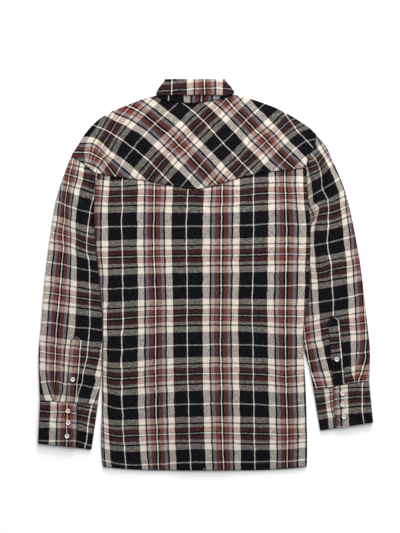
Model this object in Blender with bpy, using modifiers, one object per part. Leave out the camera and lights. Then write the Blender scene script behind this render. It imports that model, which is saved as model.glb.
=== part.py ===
"""A western flannel shirt with a padded cloth, laid flat on a table with its back up.

The table is z = 0, the collar points to +Y and the wearer's left sleeve is on the -X side. The fronts
lie on the table, the back panel and the yoke lie on the fronts, and each sleeve is a flattened tube
beside the body. Every piece of cloth is an open surface through the middle of its wall, thickened both
ways, and neighbours keep a small gap at their seams.
"""
import math
from bisect import bisect
from collections import namedtuple

import bmesh
import bpy
import numpy
from mathutils import Vector

# Cloth, in metres
WALL = 0.003                  # shell cloth with its thin padding
BAND_WALL = 0.0022            # collar, stand and front placket: cloth, stiffener, cloth
CUFF_WALL = 0.0026
STRIP_WALL = 0.0016           # sleeve plackets
SEAM = 0.0003                 # gap between sewn pieces
TABLE_GAP = 0.0001            # folds keep this far from the table
COLLAR_GAP = 0.00045          # the collar's front is bulged by its fold, and lies this much higher
REST = 0.001                  # air between a lower layer and the layer that lies on it
LOW = WALL / 2                # middle of the lower layer
HIGH = LOW + WALL + REST      # middle of the upper layer
ROLL = (HIGH - LOW) / 2       # radius of the fold between the two layers
ROLL_STEPS = 4                # facets in half a turn
ROLL_REACH = ROLL + LOW / math.cos(math.pi / ROLL_STEPS / 2)
ROLL_LEAN = LOW * math.sin(math.pi / ROLL_STEPS / 2)   # how far a roll's end leans over

# Body
FRONT_CENTRE = -0.012         # x of the centre line at y = 0
LEAN = -0.0244                # how far the centre line moves in x for each metre of y
HEM = -0.4149
HEM_RISE = 0.0075             # the hem's corners are higher than its middle
FRONT_SHORTER = 0.002
VENT_TOP = -0.341             # the side seams are open below this
ARMPIT = 0.060
Edge = namedtuple("Edge", "y left right")
BODY_EDGES = [
    Edge(-0.4149, -0.2155, 0.2127),
    Edge(-0.395, -0.2188, 0.2145),
    Edge(-0.345, -0.2212, 0.2149),
    Edge(-0.292, -0.2194, 0.2138),
    Edge(-0.25, -0.2194, 0.2125),
    Edge(-0.18, -0.2188, 0.2082),
    Edge(-0.146, -0.2182, 0.2062),
    Edge(-0.105, -0.2186, 0.2088),
    Edge(-0.06, -0.2206, 0.2146),
    Edge(-0.012, -0.2251, 0.2194),
    Edge(0.03, -0.2296, 0.2208),
    Edge(0.094, -0.2345, 0.2218),
    Edge(0.13, -0.2358, 0.2190),
    Edge(0.158, -0.2352, 0.2165),
    Edge(0.19, -0.2338, 0.2150),
    Edge(0.2265, -0.2335, 0.2135),
]
Seam = namedtuple("Seam", "x y")
YOKE_SEAM = [
    Seam(-0.2335, 0.2155),
    Seam(-0.183, 0.2063),
    Seam(-0.126, 0.1989),
    Seam(-0.077, 0.1893),
    Seam(-0.014, 0.1819),
    Seam(0.020, 0.1893),
    Seam(0.069, 0.2042),
    Seam(0.118, 0.2158),
    Seam(0.166, 0.2211),
    Seam(0.2135, 0.2264),
]
NECK_SEAM = [
    Seam(-0.1049, 0.3785),
    Seam(-0.0922, 0.3712),
    Seam(-0.0562, 0.3650),
    Seam(-0.0117, 0.3640),
    Seam(0.0151, 0.3693),
    Seam(0.0418, 0.3738),
    Seam(0.0604, 0.3810),
]
# Each shoulder fold, from the armhole to the neck
Fold = namedtuple("Fold", "part x y")
SHOULDERS = {
    -1: [
        Fold(0.00, -0.2839, 0.2529),
        Fold(0.10, -0.2714, 0.2720),
        Fold(0.23, -0.2555, 0.2974),
        Fold(0.46, -0.2194, 0.3335),
        Fold(0.74, -0.1601, 0.3610),
        Fold(0.87, -0.1304, 0.3725),
        Fold(1.00, -0.1049, 0.3785),
    ],
    1: [
        Fold(0.00, 0.2352, 0.2955),
        Fold(0.10, 0.2240, 0.3070),
        Fold(0.24, 0.2075, 0.3195),
        Fold(0.47, 0.1650, 0.3450),
        Fold(0.74, 0.1125, 0.3665),
        Fold(1.00, 0.0604, 0.3810),
    ],
}
# Each armhole seam, from the yoke seam to the shoulder fold
ARMHOLES = {
    -1: [Fold(0.0, -0.2335, 0.2155), Fold(0.5, -0.2580, 0.2345), Fold(1.0, -0.2839, 0.2529)],
    1: [
        Fold(0.00, 0.2135, 0.2264),
        Fold(0.25, 0.2155, 0.2423),
        Fold(0.70, 0.2310, 0.2741),
        Fold(1.00, 0.2352, 0.2955),
    ],
}
SHOULDER_COLUMNS = 7
NECK_COLUMNS = 7
YOKE_COLUMNS = 2 * SHOULDER_COLUMNS + NECK_COLUMNS

# Collar
COLLAR_CENTRE = -0.0223
Width = namedtuple("Width", "rise half")
COLLAR_WIDTHS = [             # half widths, from below the neck seam (rise 0) to the fold (rise 1)
    Width(-1.0, 0.0947),
    Width(0.0, 0.0827),
    Width(0.3, 0.0827),
    Width(0.6, 0.0762),
    Width(0.91, 0.0652),
    Width(1.0, 0.0652),
]
COLLAR_FOLD = 0.4151          # y of the fold
COLLAR_EDGE = 0.380           # y of the leaf's lower edge at the back
NECK_FRONT = 0.294            # y of the neck seam at the centre front
NECK_STEPS = 6                # facets on each half of the front of the neck
FORWARD_SEAM = 0.031          # the yoke's depth on the front, at the armhole
COLLAR_POINT = -1.0           # how low the points reach, in stand heights
NEST = BAND_WALL + 2 * SEAM   # from the stand to the leaf around it
SIDE_TURN = 0.06              # share of the ring's turn that its side folds take
STAND_RISES = (0.0, 0.3, 0.6, 0.91)   # rows of the stand, from the neck seam to under the fold

# Front closing
PLACKET_HALF = 0.016
BUTTON_HEIGHT = 0.0024
BUTTON_RADIUS = 0.0048
BUTTON_TOP = 0.258            # y of the highest front button
BUTTON_PITCH = 0.093
FRONT_BUTTONS = 7
RIDGE = BUTTON_HEIGHT + SEAM  # the fronts lie this high over the buttons
MOUND = COLLAR_GAP + BAND_WALL + SEAM   # and this high over the collar points
LAP = BAND_WALL + SEAM        # the right front rises this much over the placket
LAP_EDGES = (0.0215, 0.046)   # x from the centre line where that rise is whole, and where it ends

# Raised places: their whole height up to one distance in x, none past the other
Reach = namedtuple("Reach", "full none")
FRONT_OVER_BUTTONS = Reach(0.022, 0.053)
FRONT_OVER_POINTS = Reach(0.098, 0.140)
BACK_OVER_CLOSING = Reach(0.034, 0.078)
BACK_OVER_POINTS = Reach(0.106, 0.160)
POINTS_FROM = Reach(0.232, 0.185)       # in y, on the fronts
POINTS_FROM_BACK = Reach(0.215, 0.160)  # in y, on the back
CLOSING_TO = Reach(0.305, 0.350)        # in y, on the back, above the closing
SWELL = 0.0006                # the back's slow swells, from its edges inwards
SWELL_EDGES = (0.010, 0.060)
ARMPIT_GAP = 0.0012           # extra gap where the side seams and the armholes meet
ARMPIT_GAP_REACH = Reach(0.020, 0.055)

# The fronts' side edges stop short of the back's rolled sides, and a little more where a roll ends
UNDER_FROM = VENT_TOP - 0.05
UNDER_TO = ARMPIT + 0.03
UNDER_ARMPIT = 0.004
UNDER_ARMPIT_REACH = Reach(0.020, 0.045)
UNDER_VENT = 0.0012
UNDER_VENT_REACH = Reach(0.045, 0.080)

# Sleeves: the outer fold, and how far the inner fold lies from the body's edge
Section = namedtuple("Section", "down outer_x outer_y inner_y away")
SLEEVES = {
    -1: [
        Section(0, -0.2839, 0.2529, 0.2155, 0.0),
        Section(1, -0.2972, 0.2180, 0.1900, 0.0),
        Section(2, -0.3165, 0.1580, 0.1300, 0.0),
        Section(3, -0.3275, 0.0920, 0.0680, 0.0),
        Section(4, -0.3347, 0.0410, 0.0200, 0.0),
        Section(5, -0.3424, -0.0310, -0.0460, 0.0),
        Section(6, -0.3487, -0.1100, -0.1200, 0.0),
        Section(7, -0.3535, -0.1670, -0.1750, 0.0005),
        Section(8, -0.3530, -0.2180, -0.2235, 0.0020),
        Section(9, -0.3509, -0.2686, -0.2750, 0.0085),
    ],
    1: [
        Section(0, 0.2352, 0.2955, 0.2264, 0.0),
        Section(0.5, 0.2552, 0.2715, 0.2110, 0.0),
        Section(1, 0.2661, 0.2487, 0.1950, 0.0),
        Section(2, 0.2936, 0.1830, 0.1450, 0.0),
        Section(3, 0.3090, 0.1250, 0.0950, 0.0),
        Section(4, 0.3230, 0.0515, 0.0300, 0.0),
        Section(5, 0.3318, -0.0080, -0.0250, 0.0),
        Section(6, 0.3424, -0.1010, -0.1080, 0.0),
        Section(7, 0.3481, -0.1540, -0.1570, 0.0010),
        Section(8, 0.3481, -0.1900, -0.1980, 0.0100),
        Section(9, 0.3466, -0.2283, -0.2432, 0.0160),
    ],
}
SLEEVE_ROWS = 13
ACROSS_SLEEVE = 7

# Cuffs: the corners' x and y, outer fold and inner fold, at the sleeve and at the wrist
Cuff = namedtuple("Cuff", "outer_x outer_y inner_x inner_y low_outer_x low_outer_y low_inner_x low_inner_y")
CUFFS = {
    -1: Cuff(-0.3509, -0.2686, -0.2279, -0.2750, -0.3551, -0.3576, -0.2417, -0.3704),
    1: Cuff(0.3466, -0.2283, 0.2285, -0.2432, 0.3551, -0.3131, 0.2427, -0.3301),
}
CUFF_LEVEL = CUFF_WALL + 0.0006   # from the cuff's under layer to the layer on it
CUFF_LAP_FROM = 0.60              # where the hidden end stops, as a share of the width from the inner fold
CUFF_LAP_TO = (0.365, 0.295)      # where the upper end stops, at the sleeve and at the wrist
CUFF_BUTTONS = [(0.503, 0.19), (0.477, 0.46), (0.473, 0.765)]   # shares across and down the cuff

# Sleeve plackets: tip, foot at the cuff, and the place of the button along them
Strip = namedtuple("Strip", "tip_x tip_y foot_x foot_y button")
STRIPS = {
    -1: Strip(-0.2732, -0.1308, -0.2850, -0.2700, 0.66),
    1: Strip(0.2700, -0.0884, 0.2825, -0.2340, 0.63),
}
STRIP_HALF = 0.0112
STRIP_POINT = 0.010

# Largest soft folds of the upper layer: ridges from one place to another
Ridge = namedtuple("Ridge", "x y to_x to_y half_width height")
FOLDS = [
    Ridge(0.245, 0.262, 0.262, 0.165, 0.020, 0.0022),
    Ridge(0.262, 0.165, 0.226, 0.118, 0.018, 0.0018),
    Ridge(-0.262, 0.226, -0.243, 0.150, 0.020, 0.0020),
    Ridge(-0.312, -0.205, -0.318, -0.262, 0.010, 0.0018),
    Ridge(0.322, -0.170, 0.328, -0.226, 0.010, 0.0018),
]


def ramp(value, start, end):
    """0 up to start, 1 from end on, and a smooth rise between."""
    share = min(max((value - start) / (end - start), 0.0), 1.0)
    return share * share * (3 - 2 * share)


def read(table, key, column, at):
    """A table's column, read smoothly at a place on its key column."""
    keys = [getattr(row, key) for row in table]
    values = [getattr(row, column) for row in table]
    slopes = numpy.gradient(values, keys)
    row = min(max(bisect(keys, at) - 1, 0), len(keys) - 2)
    span = keys[row + 1] - keys[row]
    t = min(max((at - keys[row]) / span, 0.0), 1.0)
    start = values[row] * (1 + 2 * t) * (1 - t) ** 2 + slopes[row] * span * t * (1 - t) ** 2
    end = values[row + 1] * (3 - 2 * t) * t ** 2 - slopes[row + 1] * span * (1 - t) * t ** 2
    return float(start + end)


def mix(start, end, share):
    return start + (end - start) * share


def body_edge(side, y):
    return read(BODY_EDGES, "y", "left" if side < 0 else "right", y)


def front_centre(y):
    return FRONT_CENTRE + LEAN * y


def hem(x):
    across = (x - front_centre(HEM)) / 0.214
    return HEM + HEM_RISE * across ** 4


def shoulder(side, part):
    """A place on the shoulder fold: part 0 at the armhole, 1 at the neck."""
    table = SHOULDERS[side]
    return Vector((read(table, "part", "x", part), read(table, "part", "y", part), 0))


def armhole(side, part, shift=0.0):
    """A place on the armhole seam, shifted towards the sleeve: part 0 at the yoke seam, 1 at the shoulder."""
    table = ARMHOLES[side]
    place = Vector((read(table, "part", "x", part), read(table, "part", "y", part), 0))
    along = (Vector((table[-1].x, table[-1].y, 0)) - Vector((table[0].x, table[0].y, 0))).normalized()
    away = Vector((-along.y, along.x, 0)) * (1 if side < 0 else -1)
    return place + away * shift


def bow(side, point):
    """How far the armhole seam lies from its chord, at a point beside the chord."""
    start = armhole(side, 0)
    chord = armhole(side, 1) - start
    part = min(max((point - start).dot(chord) / chord.length_squared, 0.0), 1.0)
    return (armhole(side, part) - start - chord * part) * ramp(-part, -0.945, -0.8)


def near(distance, reach):
    """1 within the full reach, fading to 0 where it ends."""
    return ramp(-abs(distance), -reach.none, -reach.full)


def front_lift(x, y):
    """Height of the fronts' outer face above the table."""
    over_buttons = near(x - front_centre(y), FRONT_OVER_BUTTONS)
    over_points = near(x - COLLAR_CENTRE, FRONT_OVER_POINTS) * ramp(y, POINTS_FROM.none, POINTS_FROM.full)
    return max(RIDGE * over_buttons, MOUND * over_points)


def back_lift(x, y):
    """How much the back is raised by the closing and the collar under it."""
    over_closing = near(x - front_centre(y), BACK_OVER_CLOSING)
    over_closing *= ramp(-y, -CLOSING_TO.none, -CLOSING_TO.full)
    over_points = near(x - COLLAR_CENTRE, BACK_OVER_POINTS)
    over_points *= ramp(y, POINTS_FROM_BACK.none, POINTS_FROM_BACK.full)
    return max((RIDGE + LAP) * over_closing, MOUND * over_points)


def fold_height(x, y):
    """Height that the largest folds add to the upper layer."""
    height = 0.0
    for fold in FOLDS:
        start = Vector((fold.x, fold.y))
        along = Vector((fold.to_x, fold.to_y)) - start
        away = Vector((x, y)) - start
        share = min(max(away.dot(along) / along.length_squared, 0.0), 1.0)
        distance = (away - along * share).length
        height = max(height, fold.height * ramp(-distance, -fold.half_width, 0))
    return height


def body_top(x, y):
    """Middle of the wall of the back panel and of the yoke's upper layer."""
    inside = min(x - body_edge(-1, y), body_edge(1, y) - x)
    wave = 1 + math.sin(23 * x + 9 * y) * math.cos(11 * y - 6 * x)
    return HIGH + back_lift(x, y) + SWELL * wave * ramp(inside, *SWELL_EDGES)


def roll(start, outward, along, bend, radius=ROLL, down=-1):
    """A point of cloth that rolls over: along is how far past the start of the roll it lies."""
    if bend == 0:
        return start + outward * along
    angle = bend * along / radius
    reach = outward * (radius / bend * math.sin(angle))
    return start + reach + Vector((0, 0, down * radius / bend * (1 - math.cos(angle))))


def material(name, colour, roughness):
    made = bpy.data.materials.new(name)
    made.use_nodes = True
    shader = made.node_tree.nodes["Principled BSDF"]
    shader.inputs["Base Color"].default_value = (*colour, 1.0)
    shader.inputs["Roughness"].default_value = roughness
    shader.inputs["Metallic"].default_value = 0.0
    return made


def cloth(name, columns, rows, place, wall, colour, keep=None, weld=False):
    """A grid of columns by rows, laid by place(column, row), and thickened to its wall."""
    grid = bmesh.new()
    bmesh.ops.create_grid(grid, x_segments=columns, y_segments=rows, size=0.5)
    stations = {}
    for vertex in grid.verts:
        column = round((vertex.co.x + 0.5) * columns)
        row = round((vertex.co.y + 0.5) * rows)
        stations[vertex] = (column, row)
    if keep:
        outside = []
        for face in grid.faces:
            middle = [sum(stations[corner][axis] for corner in face.verts) / 4 for axis in (0, 1)]
            if not keep(*middle):
                outside.append(face)
        bmesh.ops.delete(grid, geom=outside, context="FACES")
    for vertex in grid.verts:
        vertex.co = place(*stations[vertex])
    if weld:
        bmesh.ops.remove_doubles(grid, verts=grid.verts, dist=0.00001)
    mesh = bpy.data.meshes.new(name)
    grid.to_mesh(mesh)
    grid.free()
    mesh.materials.append(material(name, colour, 0.9))
    piece = bpy.data.objects.new(name, mesh)
    shirt.objects.link(piece)
    thicken = piece.modifiers.new("Wall", "SOLIDIFY")
    thicken.thickness = wall
    thicken.offset = 0
    thicken.use_even_offset = True
    return piece


def clear_of_armpit(y):
    """The small extra gap where the side seams and the armholes meet."""
    return ARMPIT_GAP * near(y - ARMPIT, ARMPIT_GAP_REACH)


def body_side(side, y, step, steps, height):
    """A point of the back's side edge: flat at the vent and the armhole, rolled under between them."""
    bend = 1 if VENT_TOP < y < ARMPIT else 0
    length = math.pi * ROLL
    inset = (ROLL_REACH if bend else length) + clear_of_armpit(y)
    start = Vector((body_edge(side, y) - side * inset, y, height))
    return roll(start, Vector((side, 0, 0)), length * step / steps, bend)


def shoulder_or_neck(column):
    """The yoke's upper edge at a column: its place, side (0 at the neck) and part of the shoulder."""
    if column <= SHOULDER_COLUMNS:
        part = column / SHOULDER_COLUMNS
        return shoulder(-1, part), -1, part
    if column >= SHOULDER_COLUMNS + NECK_COLUMNS:
        part = (YOKE_COLUMNS - column) / SHOULDER_COLUMNS
        return shoulder(1, part), 1, part
    x = mix(NECK_SEAM[0].x, NECK_SEAM[-1].x, (column - SHOULDER_COLUMNS) / NECK_COLUMNS)
    return Vector((x, read(NECK_SEAM, "x", "y", x), 0)), 0, 0


def yoke_seam(column, up):
    """A place on the yoke seam, at a column of the yoke, moved up or down from the seam."""
    edge = shoulder_or_neck(column)[0]
    across = (edge.x - SHOULDERS[-1][0].x) / (SHOULDERS[1][0].x - SHOULDERS[-1][0].x)
    x = mix(YOKE_SEAM[0].x + SEAM / 2, YOKE_SEAM[-1].x - SEAM / 2, across)
    return Vector((x, read(YOKE_SEAM, "x", "y", x) + up, 0))


def back_panel():
    rows = 13

    def place(column, row):
        yoke_column = min(max(column - ROLL_STEPS, 0), YOKE_COLUMNS)
        top = yoke_seam(yoke_column, -SEAM / 2)
        part = (top.x - YOKE_SEAM[0].x) / (YOKE_SEAM[-1].x - YOKE_SEAM[0].x)
        y = mix(hem(mix(BODY_EDGES[0].left, BODY_EDGES[0].right, part)), top.y, row / rows)
        if 0 < yoke_column < YOKE_COLUMNS:
            left = body_side(-1, y, 0, 1, HIGH).x
            right = body_side(1, y, 0, 1, HIGH).x
            x = mix(mix(left, right, part), top.x, ramp(row, rows - 4, rows))
            return Vector((x, y, body_top(x, y)))
        side = -1 if yoke_column == 0 else 1
        step = ROLL_STEPS - column if side < 0 else column - ROLL_STEPS - YOKE_COLUMNS
        edge = body_side(side, y, step, ROLL_STEPS, HIGH)
        edge.y += (read(YOKE_SEAM, "x", "y", edge.x) - SEAM / 2 - top.y) * ramp(row, rows - 2, rows)
        return edge

    cloth("back_panel", YOKE_COLUMNS + 2 * ROLL_STEPS, rows, place, WALL, (0.080, 0.055, 0.052))


def front_neck(side, part, below=0.0):
    """The neck seam on the front: part 0 at the centre, 1 at the side; below is out from the neck."""
    at_side = ring(side * (0.5 + SIDE_TURN), 0.0, 0.0)
    half = abs(at_side.x - COLLAR_CENTRE)
    depth = at_side.y - NECK_FRONT
    place = Vector((COLLAR_CENTRE + side * half * part, NECK_FRONT + depth * abs(part) ** 2.5, 0))
    slope = 2.5 * depth * abs(part) ** 1.5 * (1 if part >= 0 else -1) / half
    out = Vector((side * slope, -1, 0)).normalized()
    return place + out * below


def forward(side, part, share):
    """A place on the yoke's front: share 0 at the shoulder fold, 1 at the forward seam."""
    fold = shoulder(side, part)
    seam_length = (armhole(side, 0) - armhole(side, 1)).length
    at_armhole = armhole(side, 1 - share * FORWARD_SEAM / seam_length) - armhole(side, 1)
    at_neck = front_neck(side, 1 - share / NECK_STEPS, 3 * SEAM) - front_neck(side, 1, 3 * SEAM)
    return fold + at_armhole * (1 - part) + at_neck * part


def back_yoke():
    rows = 9
    flap_rows = 2

    def place(column, row):
        edge, side, part = shoulder_or_neck(column)
        low = yoke_seam(column, SEAM / 2)
        if side == 0:
            flat = mix(low, edge - Vector((0, SEAM / 2, 0)), min(row / rows, 1))
            flat.z = body_top(flat.x, flat.y)
            return flat
        deep = forward(side, part, 1) + Vector((0, SEAM / 2, 0))
        inward = (forward(side, part, 1) - edge).normalized()
        top_height = HIGH + back_lift(edge.x, edge.y)
        low_height = LOW + front_lift(edge.x, edge.y) + TABLE_GAP
        radius = (top_height - low_height) / 2
        if part == 0:
            edge = armhole(side, 1, -SEAM / 2)
            low = armhole(side, 0, -SEAM / 2)
            deep = mix(armhole(side, 1, -SEAM / 2), low, FORWARD_SEAM / (low - edge).length)
            inward = (low - edge).normalized()
        start = edge + inward * (radius + ROLL_REACH - ROLL)
        if row <= rows:
            share = row / rows
            flat = mix(low, start, share)
            chord_end = armhole(side, 1) + (armhole(side, 0) - armhole(side, 1)).normalized() * ROLL_REACH
            flat += bow(side, mix(armhole(side, 0), chord_end, share)) * (1 - part) ** 6
            flat.z = mix(body_top(flat.x, flat.y), top_height, ramp(share, 0.7, 1.0))
            return flat
        if row <= rows + ROLL_STEPS:
            start.z = top_height
            return roll(start, -inward, math.pi * radius * (row - rows) / ROLL_STEPS, 1, radius)
        flat = mix(start, deep, (row - rows - ROLL_STEPS) / flap_rows)
        if part == 0:
            flat += bow(side, flat)
        flat.z = LOW + TABLE_GAP + front_lift(flat.x, flat.y)
        return flat

    def keep(column, row):
        return row < rows or not SHOULDER_COLUMNS < column < SHOULDER_COLUMNS + NECK_COLUMNS

    total = rows + ROLL_STEPS + flap_rows
    cloth("back_yoke", YOKE_COLUMNS, total, place, WALL, (0.085, 0.060, 0.056), keep)


def front(side):
    """A front: from the hem to the yoke's forward seam, the neck and the armhole.

    Its columns near the centre run parallel to the centre line, from the places that the facets of the
    neck seam give, so that the two fronts and the placket lie on each other without crossing.
    """
    neck_parts = [1 - step / NECK_STEPS for step in range(1, NECK_STEPS)]
    if side > 0:
        neck_parts += [0, -1 / NECK_STEPS]
    neck_y = front_neck(side, 0).y
    placket_edge = front_centre(neck_y) - PLACKET_HALF - SEAM
    if side < 0:
        neck_parts[-1] = (COLLAR_CENTRE - placket_edge) / abs(front_neck(side, 1).x - COLLAR_CENTRE)
    columns = SHOULDER_COLUMNS + len(neck_parts) - 1
    lower_rows = 11
    upper_rows = 4
    level = armhole(side, 0).y

    def top(column):
        if column == 0:
            seam = armhole(side, 0, -SEAM) - armhole(side, 1, -SEAM)
            return armhole(side, 1, -SEAM) + seam.normalized() * (FORWARD_SEAM + SEAM)
        if column < SHOULDER_COLUMNS:
            return forward(side, column / SHOULDER_COLUMNS, 1) - Vector((0, SEAM / 2, 0))
        edge = front_neck(side, neck_parts[column - SHOULDER_COLUMNS], 3 * SEAM)
        if column == SHOULDER_COLUMNS:
            edge.y -= SEAM
        return edge

    def lower(column, y):
        under = ROLL_REACH + ROLL_LEAN + 4 * SEAM
        under += UNDER_ARMPIT * near(y - ARMPIT, UNDER_ARMPIT_REACH)
        under += UNDER_VENT * near(y - VENT_TOP, UNDER_VENT_REACH)
        inset = under if UNDER_FROM < y < UNDER_TO else SEAM / 2
        outer = body_edge(side, y) - side * (inset + clear_of_armpit(y))
        if column < SHOULDER_COLUMNS:
            nearest = top(SHOULDER_COLUMNS).x - front_centre(neck_y) + front_centre(y)
            return Vector((mix(outer, nearest, column / SHOULDER_COLUMNS), y, 0))
        return Vector((top(column).x - front_centre(neck_y) + front_centre(y), y, 0))

    def place(column, row):
        share = (row - lower_rows) / upper_rows
        if share <= 0:
            guess = lower(column, HEM + 0.02).x
            flat = lower(column, mix(hem(guess) + FRONT_SHORTER, level, row / lower_rows))
            if column == 0 and row == lower_rows:
                flat = armhole(side, 0, -SEAM)
        else:
            flat = mix(lower(column, level), top(column), share)
            if column == 0:
                flat = mix(armhole(side, 0, -SEAM), top(0), share)
                flat += bow(side, flat)
        height = front_lift(flat.x, flat.y)
        if side > 0:
            height += LAP * ramp(front_centre(flat.y) - flat.x, -LAP_EDGES[1], -LAP_EDGES[0])
        flat.z = LOW + height
        return flat

    name = "front_left" if side < 0 else "front_right"
    cloth(name, columns, lower_rows + upper_rows, place, WALL, (0.080, 0.055, 0.052))


def front_placket():
    rows = 6

    def place(column, row):
        share = column / 2 * 2 - 1
        neck = NECK_FRONT - 3 * SEAM
        y = mix(HEM + FRONT_SHORTER, neck, row / rows)
        return Vector((front_centre(y) + share * PLACKET_HALF, y, RIDGE + BAND_WALL / 2))

    cloth("front_placket", 2, rows, place, BAND_WALL, (0.060, 0.042, 0.040))


def collar_half(rise):
    """Half the collar's width at a height on the stand: 0 at the neck seam, 1 at the fold."""
    rises = [row.rise for row in COLLAR_WIDTHS]
    return float(numpy.interp(rise, rises, [row.half for row in COLLAR_WIDTHS]))


def ring(turn, rise, nest):
    """A point of the collar's flattened ring.

    turn is -1 at the left front, 0 at the centre back and 1 at the right front; rise is 0 at the neck
    seam and 1 at the fold; nest is 0 in the stand and 1 in the leaf around it.
    """
    side = -1 if turn < 0 else 1
    low = BAND_WALL / 2 + COLLAR_GAP + (1 - nest) * NEST
    high = HIGH + MOUND + nest * NEST
    radius = (high - low) / 2
    inside = (1 - nest) * NEST * (1 + 0.35 * max(rise, 0.0))
    flat_half = collar_half(rise) - BAND_WALL / 2 - inside - radius

    def neck_y(x):
        return read(NECK_SEAM, "x", "y", x) + 2 * SEAM

    def back_y(x):
        fold = COLLAR_FOLD - 0.002 * abs((x - COLLAR_CENTRE) / COLLAR_WIDTHS[-1].half) ** 6
        return mix(neck_y(x), fold, rise)

    part = abs(turn)
    if part <= 0.5 - SIDE_TURN:
        x = COLLAR_CENTRE + side * flat_half * part / (0.5 - SIDE_TURN)
        return Vector((x, back_y(x), high))
    corner = COLLAR_CENTRE + side * flat_half
    if part < 0.5 + SIDE_TURN:
        angle = math.pi * (part - 0.5 + SIDE_TURN) / (2 * SIDE_TURN)
        x = corner + side * radius * math.sin(angle)
        return Vector((x, back_y(corner), (high + low) / 2 + radius * math.cos(angle)))
    across = (1 - part) / (0.5 - SIDE_TURN)
    spread = 0.02 + 0.24 * (1 - rise) * nest
    x = COLLAR_CENTRE + side * flat_half * mix(spread, 1, across)
    return Vector((x, back_y(corner) - (neck_y(corner) - NECK_FRONT) * (1 - across ** 2.5), low))


def collar_turns(flat_steps, side_steps):
    """Places around the ring, closer together at the two side folds."""
    half = [0.5 + SIDE_TURN + (0.5 - SIDE_TURN) * step / flat_steps for step in range(1, flat_steps + 1)]
    side = [0.5 - SIDE_TURN + 2 * SIDE_TURN * step / side_steps for step in range(side_steps + 1)]
    back = [(0.5 - SIDE_TURN) * step / flat_steps for step in range(flat_steps)]
    right = back + side + half
    return [-turn for turn in reversed(right[1:])] + right


def collar():
    turns = collar_turns(NECK_STEPS, 4)
    stand_top = STAND_RISES[-1]

    def stand(column, row):
        return ring(turns[column], STAND_RISES[row], 0.0)

    cloth("collar_stand", len(turns) - 1, len(STAND_RISES) - 1, stand, BAND_WALL, (0.060, 0.042, 0.040))

    fold_steps = 4
    fall_rows = 5

    def leaf_edge(turn):
        """How far up the ring the leaf's free edge lies."""
        part = abs(turn)
        at = ring(turn, 0.0, 1.0)
        if part <= 0.5 + SIDE_TURN:
            return max((COLLAR_EDGE - at.y) / (COLLAR_FOLD - at.y), 0.08)
        share = (part - 0.5 - SIDE_TURN) / (0.5 - SIDE_TURN)
        return mix(0.08, COLLAR_POINT, share ** 1.2)

    def leaf(column, row):
        turn = turns[column]
        if row >= fold_steps:
            edge = leaf_edge(turn)
            low = max(STAND_RISES[1], edge + 0.04)
            rises = [stand_top, STAND_RISES[2], low, mix(low, edge, 1 / 3), mix(low, edge, 2 / 3), edge]
            return ring(turn, rises[row - fold_steps], 1.0)
        outer = ring(turn, stand_top, 1.0)
        inner = ring(turn, stand_top, 0.0)
        half = (outer - inner) / 2
        before = ring(max(turn - 0.02, -1), stand_top, 0.5)
        after = ring(min(turn + 0.02, 1), stand_top, 0.5)
        up = half.cross(after - before).normalized()
        if up.y < 0:
            up = -up
        angle = math.pi * (1 - row / fold_steps)
        middle = (outer + inner) / 2 + up * SEAM * 4
        return middle + half * math.cos(angle) + up * half.length * math.sin(angle)

    cloth("collar_leaf", len(turns) - 1, fold_steps + fall_rows, leaf, BAND_WALL, (0.095, 0.066, 0.060))


def sleeve_line(side, down):
    """The inner and outer fold of a sleeve, 0 at the armhole and 1 at the cuff."""
    table = SLEEVES[side]
    at = down * table[-1].down
    outer = Vector((read(table, "down", "outer_x", at), read(table, "down", "outer_y", at), 0))
    y = read(table, "down", "inner_y", at)
    away = read(table, "down", "away", at) + 0.0004
    inner = Vector((body_edge(side, y) + side * away, y, 0))
    return inner, outer


def sleeve(side):
    quarter = ROLL_STEPS // 2
    columns = 2 * (quarter + ACROSS_SLEEVE) + ROLL_STEPS
    up_end = quarter + ACROSS_SLEEVE

    def place(column, row):
        down = row / SLEEVE_ROWS
        inner, outer = sleeve_line(side, down)
        if row == 0:
            inner = armhole(side, 0, 1.5 * SEAM)
            outer = armhole(side, 1, 1.5 * SEAM)
        if row == SLEEVE_ROWS:
            inner += Vector((0, SEAM, 0))
            outer += Vector((0, SEAM, 0))
        across = (outer - inner).normalized()
        closed = inner.y < ARMPIT
        quarter_length = math.pi / 2 * ROLL
        inset = (ROLL_REACH if closed else quarter_length) + clear_of_armpit(inner.y)
        near = inner + across * inset
        far = outer - across * ROLL_REACH
        upper = column <= columns // 2
        mirrored = column if upper else columns - column
        height = HIGH if upper else LOW + TABLE_GAP
        down_sign = -1 if upper else 1
        if mirrored < quarter:
            near.z = height
            along = quarter_length * (quarter - mirrored) / quarter
            return roll(near, -across, along, 1 if closed else 0, ROLL, down_sign)
        if mirrored > up_end:
            far.z = height
            along = math.pi / 2 * ROLL * (mirrored - up_end) / quarter
            return roll(far, across, along, 1, ROLL, down_sign)
        share = (mirrored - quarter) / ACROSS_SLEEVE
        flat = mix(near, far, share)
        if row == 0:
            flat += bow(side, flat)
        flat.z = height
        if upper:
            free = ramp(row, 0, 2) * ramp(-row, -SLEEVE_ROWS, 1 - SLEEVE_ROWS)
            flat.z += fold_height(flat.x, flat.y) * free
        return flat

    name = "sleeve_left" if side < 0 else "sleeve_right"
    cloth(name, columns, SLEEVE_ROWS, place, WALL, (0.085, 0.060, 0.056), weld=True)


def cuff_line(side, down):
    """The inner and outer fold of a cuff, 0 at the sleeve and 1 at the wrist."""
    size = CUFFS[side]
    outer = Vector((size.outer_x, size.outer_y, 0))
    inner = Vector((size.inner_x, size.inner_y, 0))
    outer = mix(outer, Vector((size.low_outer_x, size.low_outer_y, 0)), down)
    inner = mix(inner, Vector((size.low_inner_x, size.low_inner_y, 0)), down)
    return inner, outer


def cuff_lap_height():
    return CUFF_WALL / 2 + CUFF_LEVEL + CUFF_WALL + SEAM


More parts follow.
